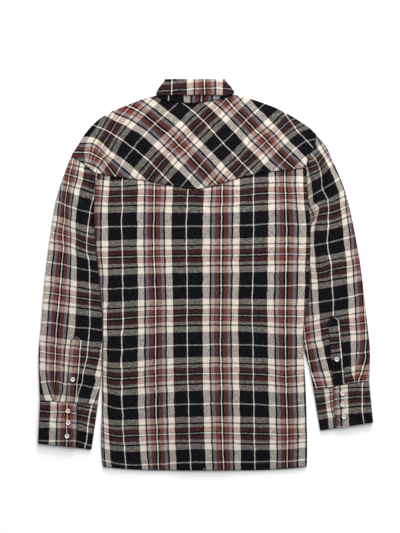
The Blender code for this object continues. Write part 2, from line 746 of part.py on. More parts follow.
def cuff(side):
    """A band that starts under its own lap, goes round below, and ends on top of its start."""
    floor = CUFF_WALL / 2
    under_radius = CUFF_LEVEL / 2
    lap_radius = (cuff_lap_height() - floor) / 2
    edge = CUFF_WALL / 2 / math.cos(math.pi / ROLL_STEPS / 2)
    under_steps = 4
    floor_steps = 5
    lap_steps = 4
    first = under_steps + ROLL_STEPS
    second = first + floor_steps
    third = second + ROLL_STEPS
    rows = 3

    def place(column, row):
        inner, outer = cuff_line(side, row / rows)
        across = (outer - inner).normalized()
        near = inner + across * (under_radius + edge)
        far = outer - across * (lap_radius + edge)
        if column <= under_steps:
            start = inner + (outer - inner) * CUFF_LAP_FROM
            point = mix(start, near, column / under_steps)
            point.z = floor + CUFF_LEVEL
            return point
        if column <= first:
            near.z = floor + CUFF_LEVEL
            along = math.pi * under_radius * (column - under_steps) / ROLL_STEPS
            return roll(near, -across, along, 1, under_radius)
        if column <= second:
            point = mix(near, far, (column - first) / floor_steps)
            point.z = floor
            return point
        if column <= third:
            far.z = floor
            along = math.pi * lap_radius * (column - second) / ROLL_STEPS
            return roll(far, across, along, 1, lap_radius, 1)
        end = inner + (outer - inner) * mix(CUFF_LAP_TO[0], CUFF_LAP_TO[1], row / rows)
        point = mix(far, end, (column - third) / lap_steps)
        point.z = cuff_lap_height()
        return point

    name = "cuff_left" if side < 0 else "cuff_right"
    cloth(name, third + lap_steps, rows, place, CUFF_WALL, (0.075, 0.052, 0.048))


def sleeve_placket(side):
    """A pointed strip on the sleeve, from the cuff up."""
    strip = STRIPS[side]
    tip = Vector((strip.tip_x, strip.tip_y, 0))
    foot = Vector((strip.foot_x, strip.foot_y, 0))
    along = (tip - foot).normalized()
    across = Vector((along.y, -along.x, 0))
    rows = 6
    shoulder_at = 1 - STRIP_POINT / (tip - foot).length

    def place(column, row):
        share = column - 1
        part = min(row, rows - 1) / (rows - 1) * shoulder_at
        point = mix(foot, tip, part) + across * STRIP_HALF * share
        if row == rows:
            point = tip + across * STRIP_HALF * share * 0.12 - along * 0.0004 * abs(share)
        point.z = HIGH + LOW + SEAM + STRIP_WALL / 2
        return point

    name = "sleeve_placket_left" if side < 0 else "sleeve_placket_right"
    cloth(name, 2, rows, place, STRIP_WALL, (0.050, 0.036, 0.035))


def button_mesh():
    """A turned button: a flat back, a round rim and a dished face."""
    radius = BUTTON_RADIUS
    height = BUTTON_HEIGHT
    Turn = namedtuple("Turn", "radius height")
    profile = [
        Turn(0.0, height * 0.66),
        Turn(radius * 0.58, height * 0.66),
        Turn(radius * 0.74, height),
        Turn(radius * 0.90, height * 0.96),
        Turn(radius, height * 0.60),
        Turn(radius * 0.86, 0.0),
        Turn(0.0, 0.0),
    ]
    outline = bpy.data.meshes.new("button profile")
    edges = [(step, step + 1) for step in range(len(profile) - 1)]
    outline.from_pydata([(turn.radius, 0, turn.height) for turn in profile], edges, [])
    turned = bpy.data.objects.new("button profile", outline)
    shirt.objects.link(turned)
    screw = turned.modifiers.new("Turn", "SCREW")
    screw.steps = 20
    screw.render_steps = 20
    screw.use_merge_vertices = True
    screw.merge_threshold = 0.00001
    bpy.context.view_layer.update()
    evaluated = turned.evaluated_get(bpy.context.evaluated_depsgraph_get())
    mesh = bpy.data.meshes.new_from_object(evaluated)
    mesh.name = "button"
    mesh.shade_smooth()
    mesh.set_sharp_from_angle(angle=math.radians(40))
    mesh.materials.append(material("pearl button", (0.78, 0.77, 0.74), 0.25))
    bpy.data.objects.remove(turned)
    return mesh


def buttons():
    mesh = button_mesh()

    def add(name, place, tilt=0.0):
        piece = bpy.data.objects.new(name, mesh)
        piece.location = place
        piece.rotation_euler = (tilt, 0, 0)
        shirt.objects.link(piece)

    for number in range(FRONT_BUTTONS):
        y = BUTTON_TOP - BUTTON_PITCH * number
        add(f"front_button_{number + 1}", Vector((front_centre(y), y, BUTTON_HEIGHT)), math.pi)
    for side, word in ((-1, "left"), (1, "right")):
        for number, (across, down) in enumerate(CUFF_BUTTONS):
            inner, outer = cuff_line(side, down)
            place = mix(inner, outer, across)
            place.z = cuff_lap_height() + CUFF_WALL / 2 + SEAM
            add(f"cuff_button_{word}_{number + 1}", place)
        strip = STRIPS[side]
        tip = Vector((strip.tip_x, strip.tip_y, 0))
        foot = Vector((strip.foot_x, strip.foot_y, 0))
        place = mix(tip, foot, strip.button)
        place.z = HIGH + LOW + SEAM + STRIP_WALL + SEAM
        add(f"placket_button_{word}", place)


for leftover in list(bpy.data.objects):
    bpy.data.objects.remove(leftover)
shirt = bpy.data.collections.new("flannel shirt")
bpy.context.scene.collection.children.link(shirt)

for body_half in (-1, 1):
    front(body_half)
front_placket()
back_panel()
back_yoke()
collar()
for arm in (-1, 1):
    sleeve(arm)
    cuff(arm)
    sleeve_placket(arm)
buttons()
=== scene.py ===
import math
from collections import namedtuple

import bpy
import numpy as np
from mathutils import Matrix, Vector
from mathutils.bvhtree import BVHTree


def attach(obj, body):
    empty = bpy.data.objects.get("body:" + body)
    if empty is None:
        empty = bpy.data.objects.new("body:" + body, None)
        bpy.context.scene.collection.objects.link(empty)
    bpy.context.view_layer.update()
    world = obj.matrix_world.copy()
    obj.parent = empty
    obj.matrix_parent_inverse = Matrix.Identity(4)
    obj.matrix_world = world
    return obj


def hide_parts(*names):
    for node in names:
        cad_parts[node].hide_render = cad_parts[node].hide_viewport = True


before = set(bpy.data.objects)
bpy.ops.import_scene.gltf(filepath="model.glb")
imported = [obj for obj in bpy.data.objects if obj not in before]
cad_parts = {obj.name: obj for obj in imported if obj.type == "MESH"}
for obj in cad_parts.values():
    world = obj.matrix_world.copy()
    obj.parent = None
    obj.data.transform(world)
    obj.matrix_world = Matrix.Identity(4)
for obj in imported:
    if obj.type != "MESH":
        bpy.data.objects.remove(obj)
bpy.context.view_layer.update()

# ---------------------------------------------------------------- The table, the light and the camera
# A pale matt table top, a large soft lamp high up beyond the collar and a little to the right, a low
# soft one under it for the folds, and an even fill. The camera hangs straight above the shirt.
CAMERA_PLACE = (-0.0117, 0.0165, 6.0)
SEEN_LENGTH = 1.130
SENSOR = 36.0
FARTHEST_SEEN = 60
HIGH_LAMP = {"place": (0.4, 1.8, 2.6), "size": 3.3, "power": 103.0}
LOW_LAMP = {"place": (0.6, 2.7, 0.8), "size": 1.6, "power": 118.0}
FILL = 0.36
TABLE_HALF = 9.0
TABLE_LEVEL = -0.0004
TABLE_COLOUR = (0.955, 0.957, 0.962, 1)
SQUARE = ((-1, -1), (1, -1), (1, 1), (-1, 1))

scene = bpy.context.scene
scene.view_settings.view_transform = "Standard"


def placed(name, data):
    """A new object in the scene, made of that data."""
    made = bpy.data.objects.new(name, data)
    scene.collection.objects.link(made)
    return made


lens = bpy.data.cameras.new("camera")
lens.sensor_width = SENSOR
lens.lens = SENSOR * CAMERA_PLACE[2] / SEEN_LENGTH
lens.clip_end = FARTHEST_SEEN
scene.camera = placed("camera", lens)
scene.camera.location = CAMERA_PLACE

for name, values in (("high lamp", HIGH_LAMP), ("low lamp", LOW_LAMP)):
    soft_light = bpy.data.lights.new(name, "AREA")
    soft_light.size = values["size"]
    soft_light.energy = values["power"]
    lamp = placed(name, soft_light)
    lamp.location = values["place"]
    lamp.rotation_euler = (-Vector(values["place"])).to_track_quat("-Z", "Y").to_euler()

fill = bpy.data.worlds.new("even fill")
fill.use_nodes = True
background = fill.node_tree.nodes["Background"].inputs
background["Color"].default_value = (1, 1, 1, 1)
background["Strength"].default_value = FILL
scene.world = fill

corners = [(x * TABLE_HALF, y * TABLE_HALF, TABLE_LEVEL) for x, y in SQUARE]
table_mesh = bpy.data.meshes.new("table")
table_mesh.from_pydata(corners, [], [(0, 1, 2, 3)])
table_top = bpy.data.materials.new("table top")
table_top.use_nodes = True
matt = table_top.node_tree.nodes["Principled BSDF"].inputs
matt["Base Color"].default_value = TABLE_COLOUR
matt["Roughness"].default_value = 0.9
matt["Specular IOR Level"].default_value = 0.1
table_mesh.materials.append(table_top)
placed("table", table_mesh)

# ---------------------------------------------------------------- The fronts
# Two fronts of brushed cotton flannel, yarn-dyed and twill woven, with a plain turned hem. They lie
# face down on the table under the back, so only their edges show at the side vents.
SIDES = {-1: "left", 1: "right"}
WALL = 0.0012                 # brushed flannel
SEAM = 0.0003                 # gap between sewn edges
FRONT_LEVEL = 0.0008          # middle of the layer on the table
BACK_LEVEL = 0.0052           # middle of the layer over it
ROLL = (BACK_LEVEL - FRONT_LEVEL) / 2
HEM = -0.4149
HEM_RISE = 0.0075
HEM_HALF = 0.214
CLOSING_AT = -0.012           # where the closing's middle crosses y = 0, and how it leans
CLOSING_LEAN = -0.0244
FRONT_SHORTER = 0.002
VENT_TOP = -0.341
ARMPIT = 0.060
BODY_EDGES = {
    -1: [(-0.4149, -0.2155), (-0.395, -0.2188), (-0.345, -0.2212), (-0.292, -0.2194),
         (-0.25, -0.2194), (-0.18, -0.2188), (-0.146, -0.2182), (-0.105, -0.2186), (-0.06, -0.2206),
         (-0.012, -0.2251), (0.03, -0.2296), (0.094, -0.2345), (0.13, -0.2358), (0.158, -0.2352),
         (0.19, -0.2338), (0.2265, -0.2335)],
    1: [(-0.4149, 0.2127), (-0.395, 0.2145), (-0.345, 0.2149), (-0.292, 0.2138), (-0.25, 0.2125),
         (-0.18, 0.2082), (-0.146, 0.2062), (-0.105, 0.2088), (-0.063, 0.2150), (-0.050, 0.2186),
         (-0.036, 0.2206), (-0.012, 0.2209), (0.03, 0.2208), (0.094, 0.2218), (0.13, 0.2190),
         (0.158, 0.2165), (0.19, 0.2150), (0.2265, 0.2135)],
}
# Each shoulder fold from the armhole to the neck, and each armhole seam from the yoke seam up
SHOULDERS = {
    -1: [(0.00, -0.2839, 0.2529), (0.10, -0.2714, 0.2720), (0.23, -0.2555, 0.2974), (0.46, -0.2194, 0.3335),
         (0.74, -0.1601, 0.3610), (0.87, -0.1304, 0.3725), (1.00, -0.1049, 0.3785)],
    1: [(0.00, 0.2352, 0.2955), (0.10, 0.2240, 0.3070), (0.24, 0.2075, 0.3195), (0.47, 0.1650, 0.3450),
        (0.74, 0.1125, 0.3665), (1.00, 0.0604, 0.3810)],
}
ARMHOLES = {
    -1: [(0.0, -0.2335, 0.2155), (0.5, -0.2580, 0.2345), (1.0, -0.2839, 0.2529)],
    1: [(0.00, 0.2135, 0.2264), (0.25, 0.2155, 0.2423), (0.70, 0.2310, 0.2741), (1.00, 0.2352, 0.2955)],
}
COLLAR_CENTRE = -0.0223
NECK_FRONT = 0.294
NECK_SIDE = {-1: (-0.1020, 0.3778), 1: (0.0574, 0.3798)}
NECK_SHARE = 5 / 6
FORWARD_SEAM = 0.031
PLACKET_HALF = 0.016
OVER_BUTTONS = 0.0027         # how much the closing lifts the fronts
OVER_POINTS = 0.0024          # and the collar points
OVER_PLACKET = 0.0019         # and the placket the right front
BUTTONS_REACH = (0.022, 0.053)   # whole within the first distance, gone from the second
POINTS_REACH = (0.098, 0.140)
POINTS_FROM = (0.185, 0.232)  # gone below the first height, whole above the second
PLACKET_REACH = (-0.046, -0.0215)
HEM_TURN = 0.0008             # what the turned hem adds to the wall
HEM_REACH = (0.016, 0.020)
FRONT_CUT = (0.0413, -0.1035)   # how far a front's cut is shifted on the flat cloth

# The cloth's sett, in millimetres from the middle of the fine cream line in the navy
Yarns = namedtuple("Yarns", "cream navy rust lavender bright")
YARNS = Yarns((233, 222, 206), (14, 15, 20), (119, 64, 56), (147, 140, 149), (255, 249, 236))
WARP_HALF = [("navy", 30.95), ("cream", 13.4), ("navy", 3.6), ("lavender", 6.6), ("rust", 8.9), ("navy", 4.0)]
WARP = [("bright", 2.1), *WARP_HALF, ("bright", 2.1), *WARP_HALF[::-1]]
WEFT_HALF = [("navy", 26.05), ("cream", 11.8), ("navy", 3.6), ("cream", 6.2), ("rust", 9.2), ("navy", 3.2)]
WEFT = [("bright", 2.5), *WEFT_HALF, ("bright", 2.4), *WEFT_HALF[::-1]]
WARP_REPEAT = sum(width for yarn, width in WARP) / 1000
WEFT_REPEAT = sum(width for yarn, width in WEFT) / 1000
RUST_WARP = WARP_REPEAT / 2   # from the fine cream line in the navy to the one in the rust
RUST_WEFT = WEFT_REPEAT / 2
WARP_SHARE = 0.635            # how much of the face is warp
TWILL_PITCH = 0.0016
WANDER = 0.0026               # how far the yarns stray from straight
FRAYED = 0.0005               # and how far the nap blurs a stripe's edge
PAINTED_SHADE_REACH = 0.020            # how far away folds and hollows are looked for, for the painted shade
PAINTED_SHADE_FLOOR = 0.06              # and how light the colour stays where that painted shade is deepest
NAP_DEPTH = 0.0004
ROUND_EDGE = 0.38             # how far a cloth's rounded edge stands out, in walls
CLOTH_LIGHTNESS = 0.70
YARN_MIX = 1.95               # how light two yarns look together: the power their colours mix at


class Signal:
    """A socket of a material, so that a finish is written as plain sums."""

    def __init__(self, tree, socket=None):
        self.tree = tree
        self.socket = socket

    def node(self, kind, settings=None, values=None, output=0):
        """A node of that kind: its settings first, then the values or links of its sockets."""
        made = self.tree.nodes.new(kind)
        for name, setting in (settings or {}).items():
            if name == "stops":
                made.color_ramp.interpolation = "CONSTANT"
                made.color_ramp.elements.remove(made.color_ramp.elements[1])
                made.color_ramp.elements[0].color = (*setting[0][1], 1)
                for position, colour in setting[1:]:
                    made.color_ramp.elements.new(position).color = (*colour, 1)
            else:
                setattr(made, name, setting)
        for name, value in (values or {}).items():
            if isinstance(value, Signal):
                value.feeds(made.inputs[name])
            else:
                made.inputs[name].default_value = value
        return Signal(self.tree, made.outputs[output])

    def feeds(self, entry):
        self.tree.links.new(self.socket, entry)

    def math(self, operation, first, second=0.0):
        return self.node("ShaderNodeMath", {"operation": operation}, {0: first, 1: second})

    def __add__(self, other):
        return self.math("ADD", self, other)

    __radd__ = __add__

    def __sub__(self, other):
        return self.math("SUBTRACT", self, other)

    def __rsub__(self, other):
        return self.math("SUBTRACT", other, self)

    def __mul__(self, other):
        return self.math("MULTIPLY", self, other)

    __rmul__ = __mul__

    def __truediv__(self, other):
        return self.math("DIVIDE", self, other)

    def __rtruediv__(self, other):
        return self.math("DIVIDE", other, self)


def finish_of(name, roughness, sheen=0.0, coat=0.0, specular=0.5):
    """A new material: its name, its surface's unvarying numbers, and a signal to build on."""
    made = bpy.data.materials.new(name)
    made.use_nodes = True
    surface = made.node_tree.nodes["Principled BSDF"].inputs
    surface["Roughness"].default_value = roughness
    surface["Sheen Weight"].default_value = sheen
    surface["Sheen Roughness"].default_value = 0.4
    surface["Coat Weight"].default_value = coat
    surface["Coat Roughness"].default_value = 0.12
    surface["Specular IOR Level"].default_value = specular
    return made, surface, Signal(made.node_tree)


def stripes(yarns):
    """Where each yarn of a repeat starts, and its colour in the form that mixes as dyed yarn does."""
    repeat = sum(width for yarn, width in yarns)
    starts = np.cumsum([0.0] + [width for yarn, width in yarns[:-1]]) / repeat
    colours = np.array([getattr(YARNS, yarn) for yarn, width in yarns])
    return list(zip(starts, ((colours / 255 + 0.055) / 1.055) ** (2.4 / YARN_MIX)))


def plaid_flannel():
    """Brushed twill flannel: warp and weft stripes read from the cut, mixed as woven yarn, with shade painted
    into the colour in folds and hollows.
    """
    made, surface, sheet = finish_of("plaid flannel", roughness=0.94, sheen=0.05, specular=0.08)
    cut = sheet.node("ShaderNodeUVMap", {"uv_map": "cut"})
    along, down = [sheet.node("ShaderNodeSeparateXYZ", values={0: cut}, output=axis) for axis in (0, 1)]

    def noise(scale, detail, stretch=(1.0, 1.0, 1.0)):
        at = sheet.node("ShaderNodeVectorMath", {"operation": "MULTIPLY"}, {0: cut, 1: stretch})
        values = {"Vector": at, "Scale": scale, "Detail": detail}
        return sheet.node("ShaderNodeTexNoise", {"noise_dimensions": "2D"}, values) - 0.5

    fuzz = noise(900.0, 2.0)
    warp_slub = noise(420.0, 1.0, (1.0, 0.35, 1.0))
    weft_slub = noise(420.0, 1.0, (0.35, 1.0, 1.0))
    patch = noise(45.0, 2.0)
    warp_at = along + noise(34.0, 1.0, (1.0, 1.3, 1.0)) * WANDER + fuzz * FRAYED
    weft_at = down + noise(34.0, 1.0, (1.3, 1.0, 1.0)) * WANDER + fuzz * FRAYED
    warp = sheet.math("FRACT", warp_at / WARP_REPEAT + WARP[0][1] / 2000 / WARP_REPEAT)
    weft = sheet.math("FRACT", weft_at / WEFT_REPEAT + WEFT[0][1] / 2000 / WEFT_REPEAT)
    warp_yarn = sheet.node("ShaderNodeValToRGB", {"stops": stripes(WARP)}, {0: warp})
    weft_yarn = sheet.node("ShaderNodeValToRGB", {"stops": stripes(WEFT)}, {0: weft})
    twill = sheet.math("SINE", (along + down) * (2 * math.pi / TWILL_PITCH))
    share = WARP_SHARE + twill * 0.06 + (warp_slub - weft_slub) * 0.38
    yarns = {0: share, 6: weft_yarn, 7: warp_yarn}
    woven = sheet.node("ShaderNodeMix", {"data_type": "RGBA"}, yarns, output=2)
    dyed = sheet.node("ShaderNodeGamma", values={"Color": woven, "Gamma": YARN_MIX})
    # Painted shade: the colour darkens where ambient occlusion finds folds, gaps and hollows close by
    open_to_light = sheet.node("ShaderNodeAmbientOcclusion", {"samples": 8}, {"Distance": PAINTED_SHADE_REACH}, "AO")
    nap_and_painted_shade = CLOTH_LIGHTNESS * (1.0 + fuzz * 0.35 + (warp_slub + weft_slub) * 0.25 + patch * 0.10)
    nap_and_painted_shade = nap_and_painted_shade * (PAINTED_SHADE_FLOOR + open_to_light * open_to_light)
    napped_and_shaded = sheet.node("ShaderNodeVectorMath", {"operation": "SCALE"}, {0: dyed, "Scale": nap_and_painted_shade})
    lint = (warp_slub + weft_slub + fuzz) * 0.009
    linted_and_shaded = sheet.node("ShaderNodeVectorMath", {"operation": "ADD"}, {0: napped_and_shaded, 1: lint})
    linted_and_shaded.feeds(surface["Base Color"])
    height = twill * 0.3 + fuzz * 1.6 + warp_slub + weft_slub
    bumps = sheet.node("ShaderNodeBump", values={"Strength": 0.35, "Distance": NAP_DEPTH, "Height": height})
    bumps.feeds(surface["Normal"])
    return made


def read(line, at):
    """A measured line, read smoothly at one place or many: rows of a place and its values."""
    table_of = np.array(line, float)
    places, values = table_of[:, 0], table_of[:, 1:]
    slopes = np.gradient(values, places, axis=0)
    at = np.asarray(at, float)
    row = np.clip(np.searchsorted(places, at, side="right") - 1, 0, len(places) - 2)
    span = (places[row + 1] - places[row])[..., None]
    t = np.clip((at - places[row])[..., None] / span, 0, 1)
    start = values[row] * (1 + 2 * t) * (1 - t) ** 2 + slopes[row] * span * t * (1 - t) ** 2
    end = values[row + 1] * (3 - 2 * t) * t ** 2 - slopes[row + 1] * span * (1 - t) * t ** 2
    found = start + end
    return found[..., 0] if values.shape[1] == 1 else found


def smooth(value, start, end):
    """0 up to start, 1 from end on, and a smooth rise between."""
    share = np.clip((value - start) / (end - start), 0, 1)
    return share * share * (3 - 2 * share)


def near(distance, full, none):
    """1 within the first distance, fading to 0 at the second."""
    return smooth(-np.abs(distance), -none, -full)


def mix(start, end, share):
    return start + (end - start) * share


def length(steps):
    return np.linalg.norm(steps, axis=-1)


def units(steps):
    """The same directions, each one unit long."""
    return steps / np.maximum(length(steps), 1e-12)[..., None]


def turned(start, outward, along, bend, radius):
    """Cloth that turns down from start: its places, for lengths along it, and how far it drops."""
    bend = np.maximum(bend, 0.001)
    angle = bend * along / radius
    place = start + outward * (radius / bend * np.sin(angle))[..., None]
    return place, radius / bend * (1 - np.cos(angle))


def front_centre(y):
    return CLOSING_AT + CLOSING_LEAN * y


def hem(x):
    return HEM + HEM_RISE * ((x - front_centre(HEM)) / HEM_HALF) ** 4


def body_edge(side, y):
    return read(BODY_EDGES[side], y)


def armhole(side, part, shift=0.0):
    """Places on the armhole seam, shifted towards the sleeve."""
    chord = np.array(ARMHOLES[side][-1][1:]) - np.array(ARMHOLES[side][0][1:])
    away = np.array([-chord[1], chord[0]]) / length(chord) * -side
    return read(ARMHOLES[side], part) + away * shift


def bow(side, points):
    """How far the armhole seam lies from its chord, at points beside the chord."""
    start = armhole(side, 0)
    chord = armhole(side, 1) - start
    part = np.clip((points - start) @ chord / (chord @ chord), 0, 1)
    lift = smooth(-part, -0.945, -0.8)[..., None]
    return (armhole(side, part) - start - chord * part[..., None]) * lift


def front_neck(side, part, below=0.0):
    """The neck seam on the front: part 0 at the centre, 1 at the side; below is out from the neck."""
    half = abs(NECK_SIDE[side][0] - COLLAR_CENTRE)
    depth = NECK_SIDE[side][1] - NECK_FRONT
    place = np.array([COLLAR_CENTRE + side * half * part, NECK_FRONT + depth * abs(part) ** 2.5])
    slope = 2.5 * depth * abs(part) ** 1.5 * math.copysign(1, part) / half
    out = np.array([side * slope, -1]) / math.hypot(slope, 1)
    return place + out * below


def forward(side, part, share):
    """A place on the yoke's front: share 0 at the shoulder fold, 1 at the forward seam."""
    seam_length = length(armhole(side, 0) - armhole(side, 1))
    at_armhole = armhole(side, 1 - share * FORWARD_SEAM / seam_length) - armhole(side, 1)
    gap = 3 * SEAM
    at_neck = front_neck(side, 1 - share * (1 - NECK_SHARE), gap) - front_neck(side, 1, gap)
    return read(SHOULDERS[side], part) + at_armhole * (1 - part) + at_neck * part


def front_lift(x, y):
    """How much the closing and the collar points lift the fronts."""
    over_buttons = near(x - front_centre(y), *BUTTONS_REACH)
    over_points = near(x - COLLAR_CENTRE, *POINTS_REACH) * smooth(y, *POINTS_FROM)
    return np.maximum(OVER_BUTTONS * over_buttons, OVER_POINTS * over_points)


def shell(name, middle, cut, wall, keep):
    """Cloth with a wall and rounded edges, from a grid of rows and columns through the wall's middle.

    cut holds where each place was on the flat cloth. The face and the lining side get their own parts
    of the bake layout, and the edges a narrow border round each.
    """
    rows, columns = middle.shape[:2]
    index = np.arange(rows * columns).reshape(rows, columns)
    quads = np.stack([index[:-1, :-1], index[:-1, 1:], index[1:, 1:], index[1:, :-1]], axis=-1)
    quads = quads.reshape(-1, 4) if keep is None else quads[keep]
    points = middle.reshape(-1, 3)
    corner = points[quads]
    facing = np.cross(corner[:, 2] - corner[:, 0], corner[:, 3] - corner[:, 1])
    normals = np.zeros_like(points)
    for place in range(4):
        np.add.at(normals, quads[:, place], facing)
    normals = units(normals)
    wall = np.broadcast_to(np.asarray(wall, float), (rows, columns)).reshape(-1, 1)

    starts = quads.reshape(-1)
    ends = np.roll(quads, -1, axis=1).reshape(-1)
    count = rows * columns
    open_edge = ~np.isin(starts * count + ends, ends * count + starts)
    starts, ends = starts[open_edge], ends[open_edge]

    across = length(np.diff(middle, axis=1)).mean(axis=0)
    down = length(np.diff(middle, axis=0)).mean(axis=1)
    across = np.concatenate([[0], np.cumsum(across)]) / across.sum()
    down = np.concatenate([[0], np.cumsum(down)]) / down.sum()
    flat = np.stack(np.meshgrid(across, down), axis=-1).reshape(-1, 2)

    def outward(along, turn, size):
        """The direction out of the grid at each place of its open edge."""
        total = np.zeros((count, size))
        step = units(turn(along[ends] - along[starts]))
        np.add.at(total, starts, step)
        np.add.at(total, ends, step)
        return units(total)

    out = outward(points, lambda step: np.cross(step, normals[starts]), 3)
    out_flat = outward(flat, lambda step: np.stack([step[:, 1], -step[:, 0]], axis=1), 2)
    vertices = np.concatenate([
        points + normals * wall / 2,
        points - normals * wall / 2,
        points + out * wall * ROUND_EDGE,
    ])
    lining = count
    rim = 2 * count
    faces = np.concatenate([
        quads,
        quads[:, ::-1] + lining,
        np.stack([ends, starts, starts + rim, ends + rim], axis=1),
        np.stack([ends + rim, starts + rim, starts + lining, ends + lining], axis=1),
    ])
    margin, border, face_width, lining_width = 0.012, 0.006, 0.62, 0.32
    face_flat = margin + flat * (face_width, 1 - 2 * margin)
    lining_flat = (face_width + 4 * margin, margin) + flat * (lining_width, 1 - 2 * margin)
    face_side = np.concatenate([face_flat, face_flat, face_flat + out_flat * border])
    lining_side = np.concatenate([lining_flat, lining_flat, lining_flat + out_flat * border])
    on_face = np.zeros(len(faces), bool)
    on_face[:len(quads)] = True
    on_face[2 * len(quads):2 * len(quads) + len(starts)] = True
    bake = np.where(on_face[:, None, None], face_side[faces], lining_side[faces])
    cloth_at = np.tile(cut.reshape(-1, 2), (3, 1))[faces]

    used = np.unique(faces)
    renumber = np.zeros(3 * count, int)
    renumber[used] = np.arange(len(used))
    mesh = bpy.data.meshes.new(name)
    mesh.from_pydata(vertices[used].tolist(), [], renumber[faces].tolist())
    for layer, values in (("cut", cloth_at), ("OFBake", bake)):
        mesh.uv_layers.new(name=layer).data.foreach_set("uv", values.reshape(-1).astype(np.float32))
    mesh.polygons.foreach_set("use_smooth", np.ones(len(faces), bool))
    mesh.materials.append(flannel)
    mesh.update()
    return placed(name, mesh)


def sewn(node, middle, cut, wall, flat, area=None, keep=None):
    """A piece of cloth that stands for that CAD node, which it hides; the flat size is not used."""
    piece = shell(node + "_cloth", middle, cut, wall, keep)
    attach(piece, "root")
    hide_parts(node)
    return piece


flannel = plaid_flannel()


def front(side):
    """A front, from the hem to the armhole, the yoke's forward seam and the neck."""
    gap = 3 * SEAM
    shoulder_columns, neck_columns, lower_rows, upper_rows = 34, 22, 110, 40
    neck_edge = front_neck(side, 0)[1]
    centre_edge = front_centre(neck_edge) - PLACKET_HALF - SEAM
    neck_half = abs(NECK_SIDE[side][0] - COLLAR_CENTRE)
    last = (COLLAR_CENTRE - centre_edge) / neck_half if side < 0 else NECK_SHARE - 1
    parts = np.linspace(0, 1, shoulder_columns)
    top = [forward(side, part, 1) - (0, SEAM / 2) for part in parts]
    top += [front_neck(side, part, gap) for part in np.linspace(NECK_SHARE, last, neck_columns)[1:]]
    top = np.array(top)
    from_centre = top[:, 0] - front_centre(neck_edge)
    beside = np.concatenate([parts, np.ones(neck_columns - 1)])

    def lower(y):
        tucked = smooth(y, VENT_TOP - 0.05, VENT_TOP) * (1 - smooth(y, ARMPIT, ARMPIT + 0.04))
        inset = mix(SEAM, ROLL + WALL + 2 * SEAM, tucked)
        outer = body_edge(side, y) - side * inset
        nearest = from_centre[shoulder_columns - 1] + front_centre(y)
        x = np.where(beside < 1, mix(outer, nearest, beside), from_centre + front_centre(y))
        return np.stack([x, y], axis=-1)

    level = armhole(side, 0)[1]
    start_y = hem(lower(np.full(len(top), HEM + 0.02))[:, 0]) + FRONT_SHORTER
    lines = [lower(mix(start_y, level, share)) for share in np.linspace(0, 1, lower_rows)]
    base = lines[-1]
    lines += [mix(base, top, share) for share in np.linspace(0, 1, upper_rows)[1:]]
    flat = np.array(lines)
    x, y = flat[..., 0], flat[..., 1]
    height = FRONT_LEVEL + front_lift(x, y)
    if side > 0:
        height += OVER_PLACKET * smooth(front_centre(y) - x, *PLACKET_REACH)
    middle = np.dstack([x, y, height])
    wall = WALL + HEM_TURN * near(y - start_y, *HEM_REACH)
    if side > 0:
        middle, wall = middle[:, ::-1], wall[:, ::-1]
    cut = middle[..., :2] + FRONT_CUT
    sewn("front_" + SIDES[side], middle, cut, wall, (0.26, 0.72), area=0.155)


for half in SIDES:
    front(half)

# ---------------------------------------------------------------- The front closing
# A placket of folded flannel over stiffener, sewn down the left front, with seven pearl buttons on
# it. It lies face down on the table, so the buttons face the table top.
PLACKET_WALL = 0.0016
PLACKET_LEVEL = 0.0038
BUTTON_HEIGHT = 0.0024
BUTTON_TOP = 0.258
BUTTON_PITCH = 0.093
FRONT_BUTTONS = 7

placket_y = np.linspace(HEM + FRONT_SHORTER, NECK_FRONT - 3 * SEAM, 160)[:, None]
placket_across = np.linspace(-1, 1, 9)[None, :] * PLACKET_HALF
placket_x = front_centre(placket_y) + placket_across
placket_middle = np.dstack(np.broadcast_arrays(placket_x, placket_y, PLACKET_LEVEL))
placket_cut = np.dstack(np.broadcast_arrays(placket_across + RUST_WARP, placket_y + FRONT_CUT[1]))
sewn("front_placket", placket_middle, placket_cut, PLACKET_WALL, (0.033, 0.71))


def pearl():
    """Polished pearly resin, with a faint swirl in its depth."""
    made, surface, disc = finish_of("pearl button", roughness=0.22, coat=0.5)
    place = disc.node("ShaderNodeTexCoord", output="Object")
    flow = {"Vector": place, "Scale": 260.0, "Detail": 3.0, "Distortion": 1.5}
    swirl = disc.node("ShaderNodeTexNoise", None, flow)
    tones = {0: swirl, 6: (0.52, 0.52, 0.51, 1), 7: (0.72, 0.71, 0.69, 1)}
    shade = disc.node("ShaderNodeMix", {"data_type": "RGBA"}, tones, output=2)
    shade.feeds(surface["Base Color"])
    (0.18 + swirl * 0.12).feeds(surface["Roughness"])
    return made


def sewing_thread():
    """Matt spun thread, close to the cloth's darkest yarn."""
    made, surface, strand = finish_of("sewing thread", roughness=0.7, sheen=0.2, specular=0.3)
    place = strand.node("ShaderNodeTexCoord", output="Object")
    twist = strand.node("ShaderNodeTexNoise", None, {"Vector": place, "Scale": 2400.0, "Detail": 1.0})
    tones = {0: twist, 6: (0.016, 0.016, 0.022, 1), 7: (0.060, 0.058, 0.070, 1)}
    shade = strand.node("ShaderNodeMix", {"data_type": "RGBA"}, tones, output=2)
    shade.feeds(surface["Base Color"])
    return made


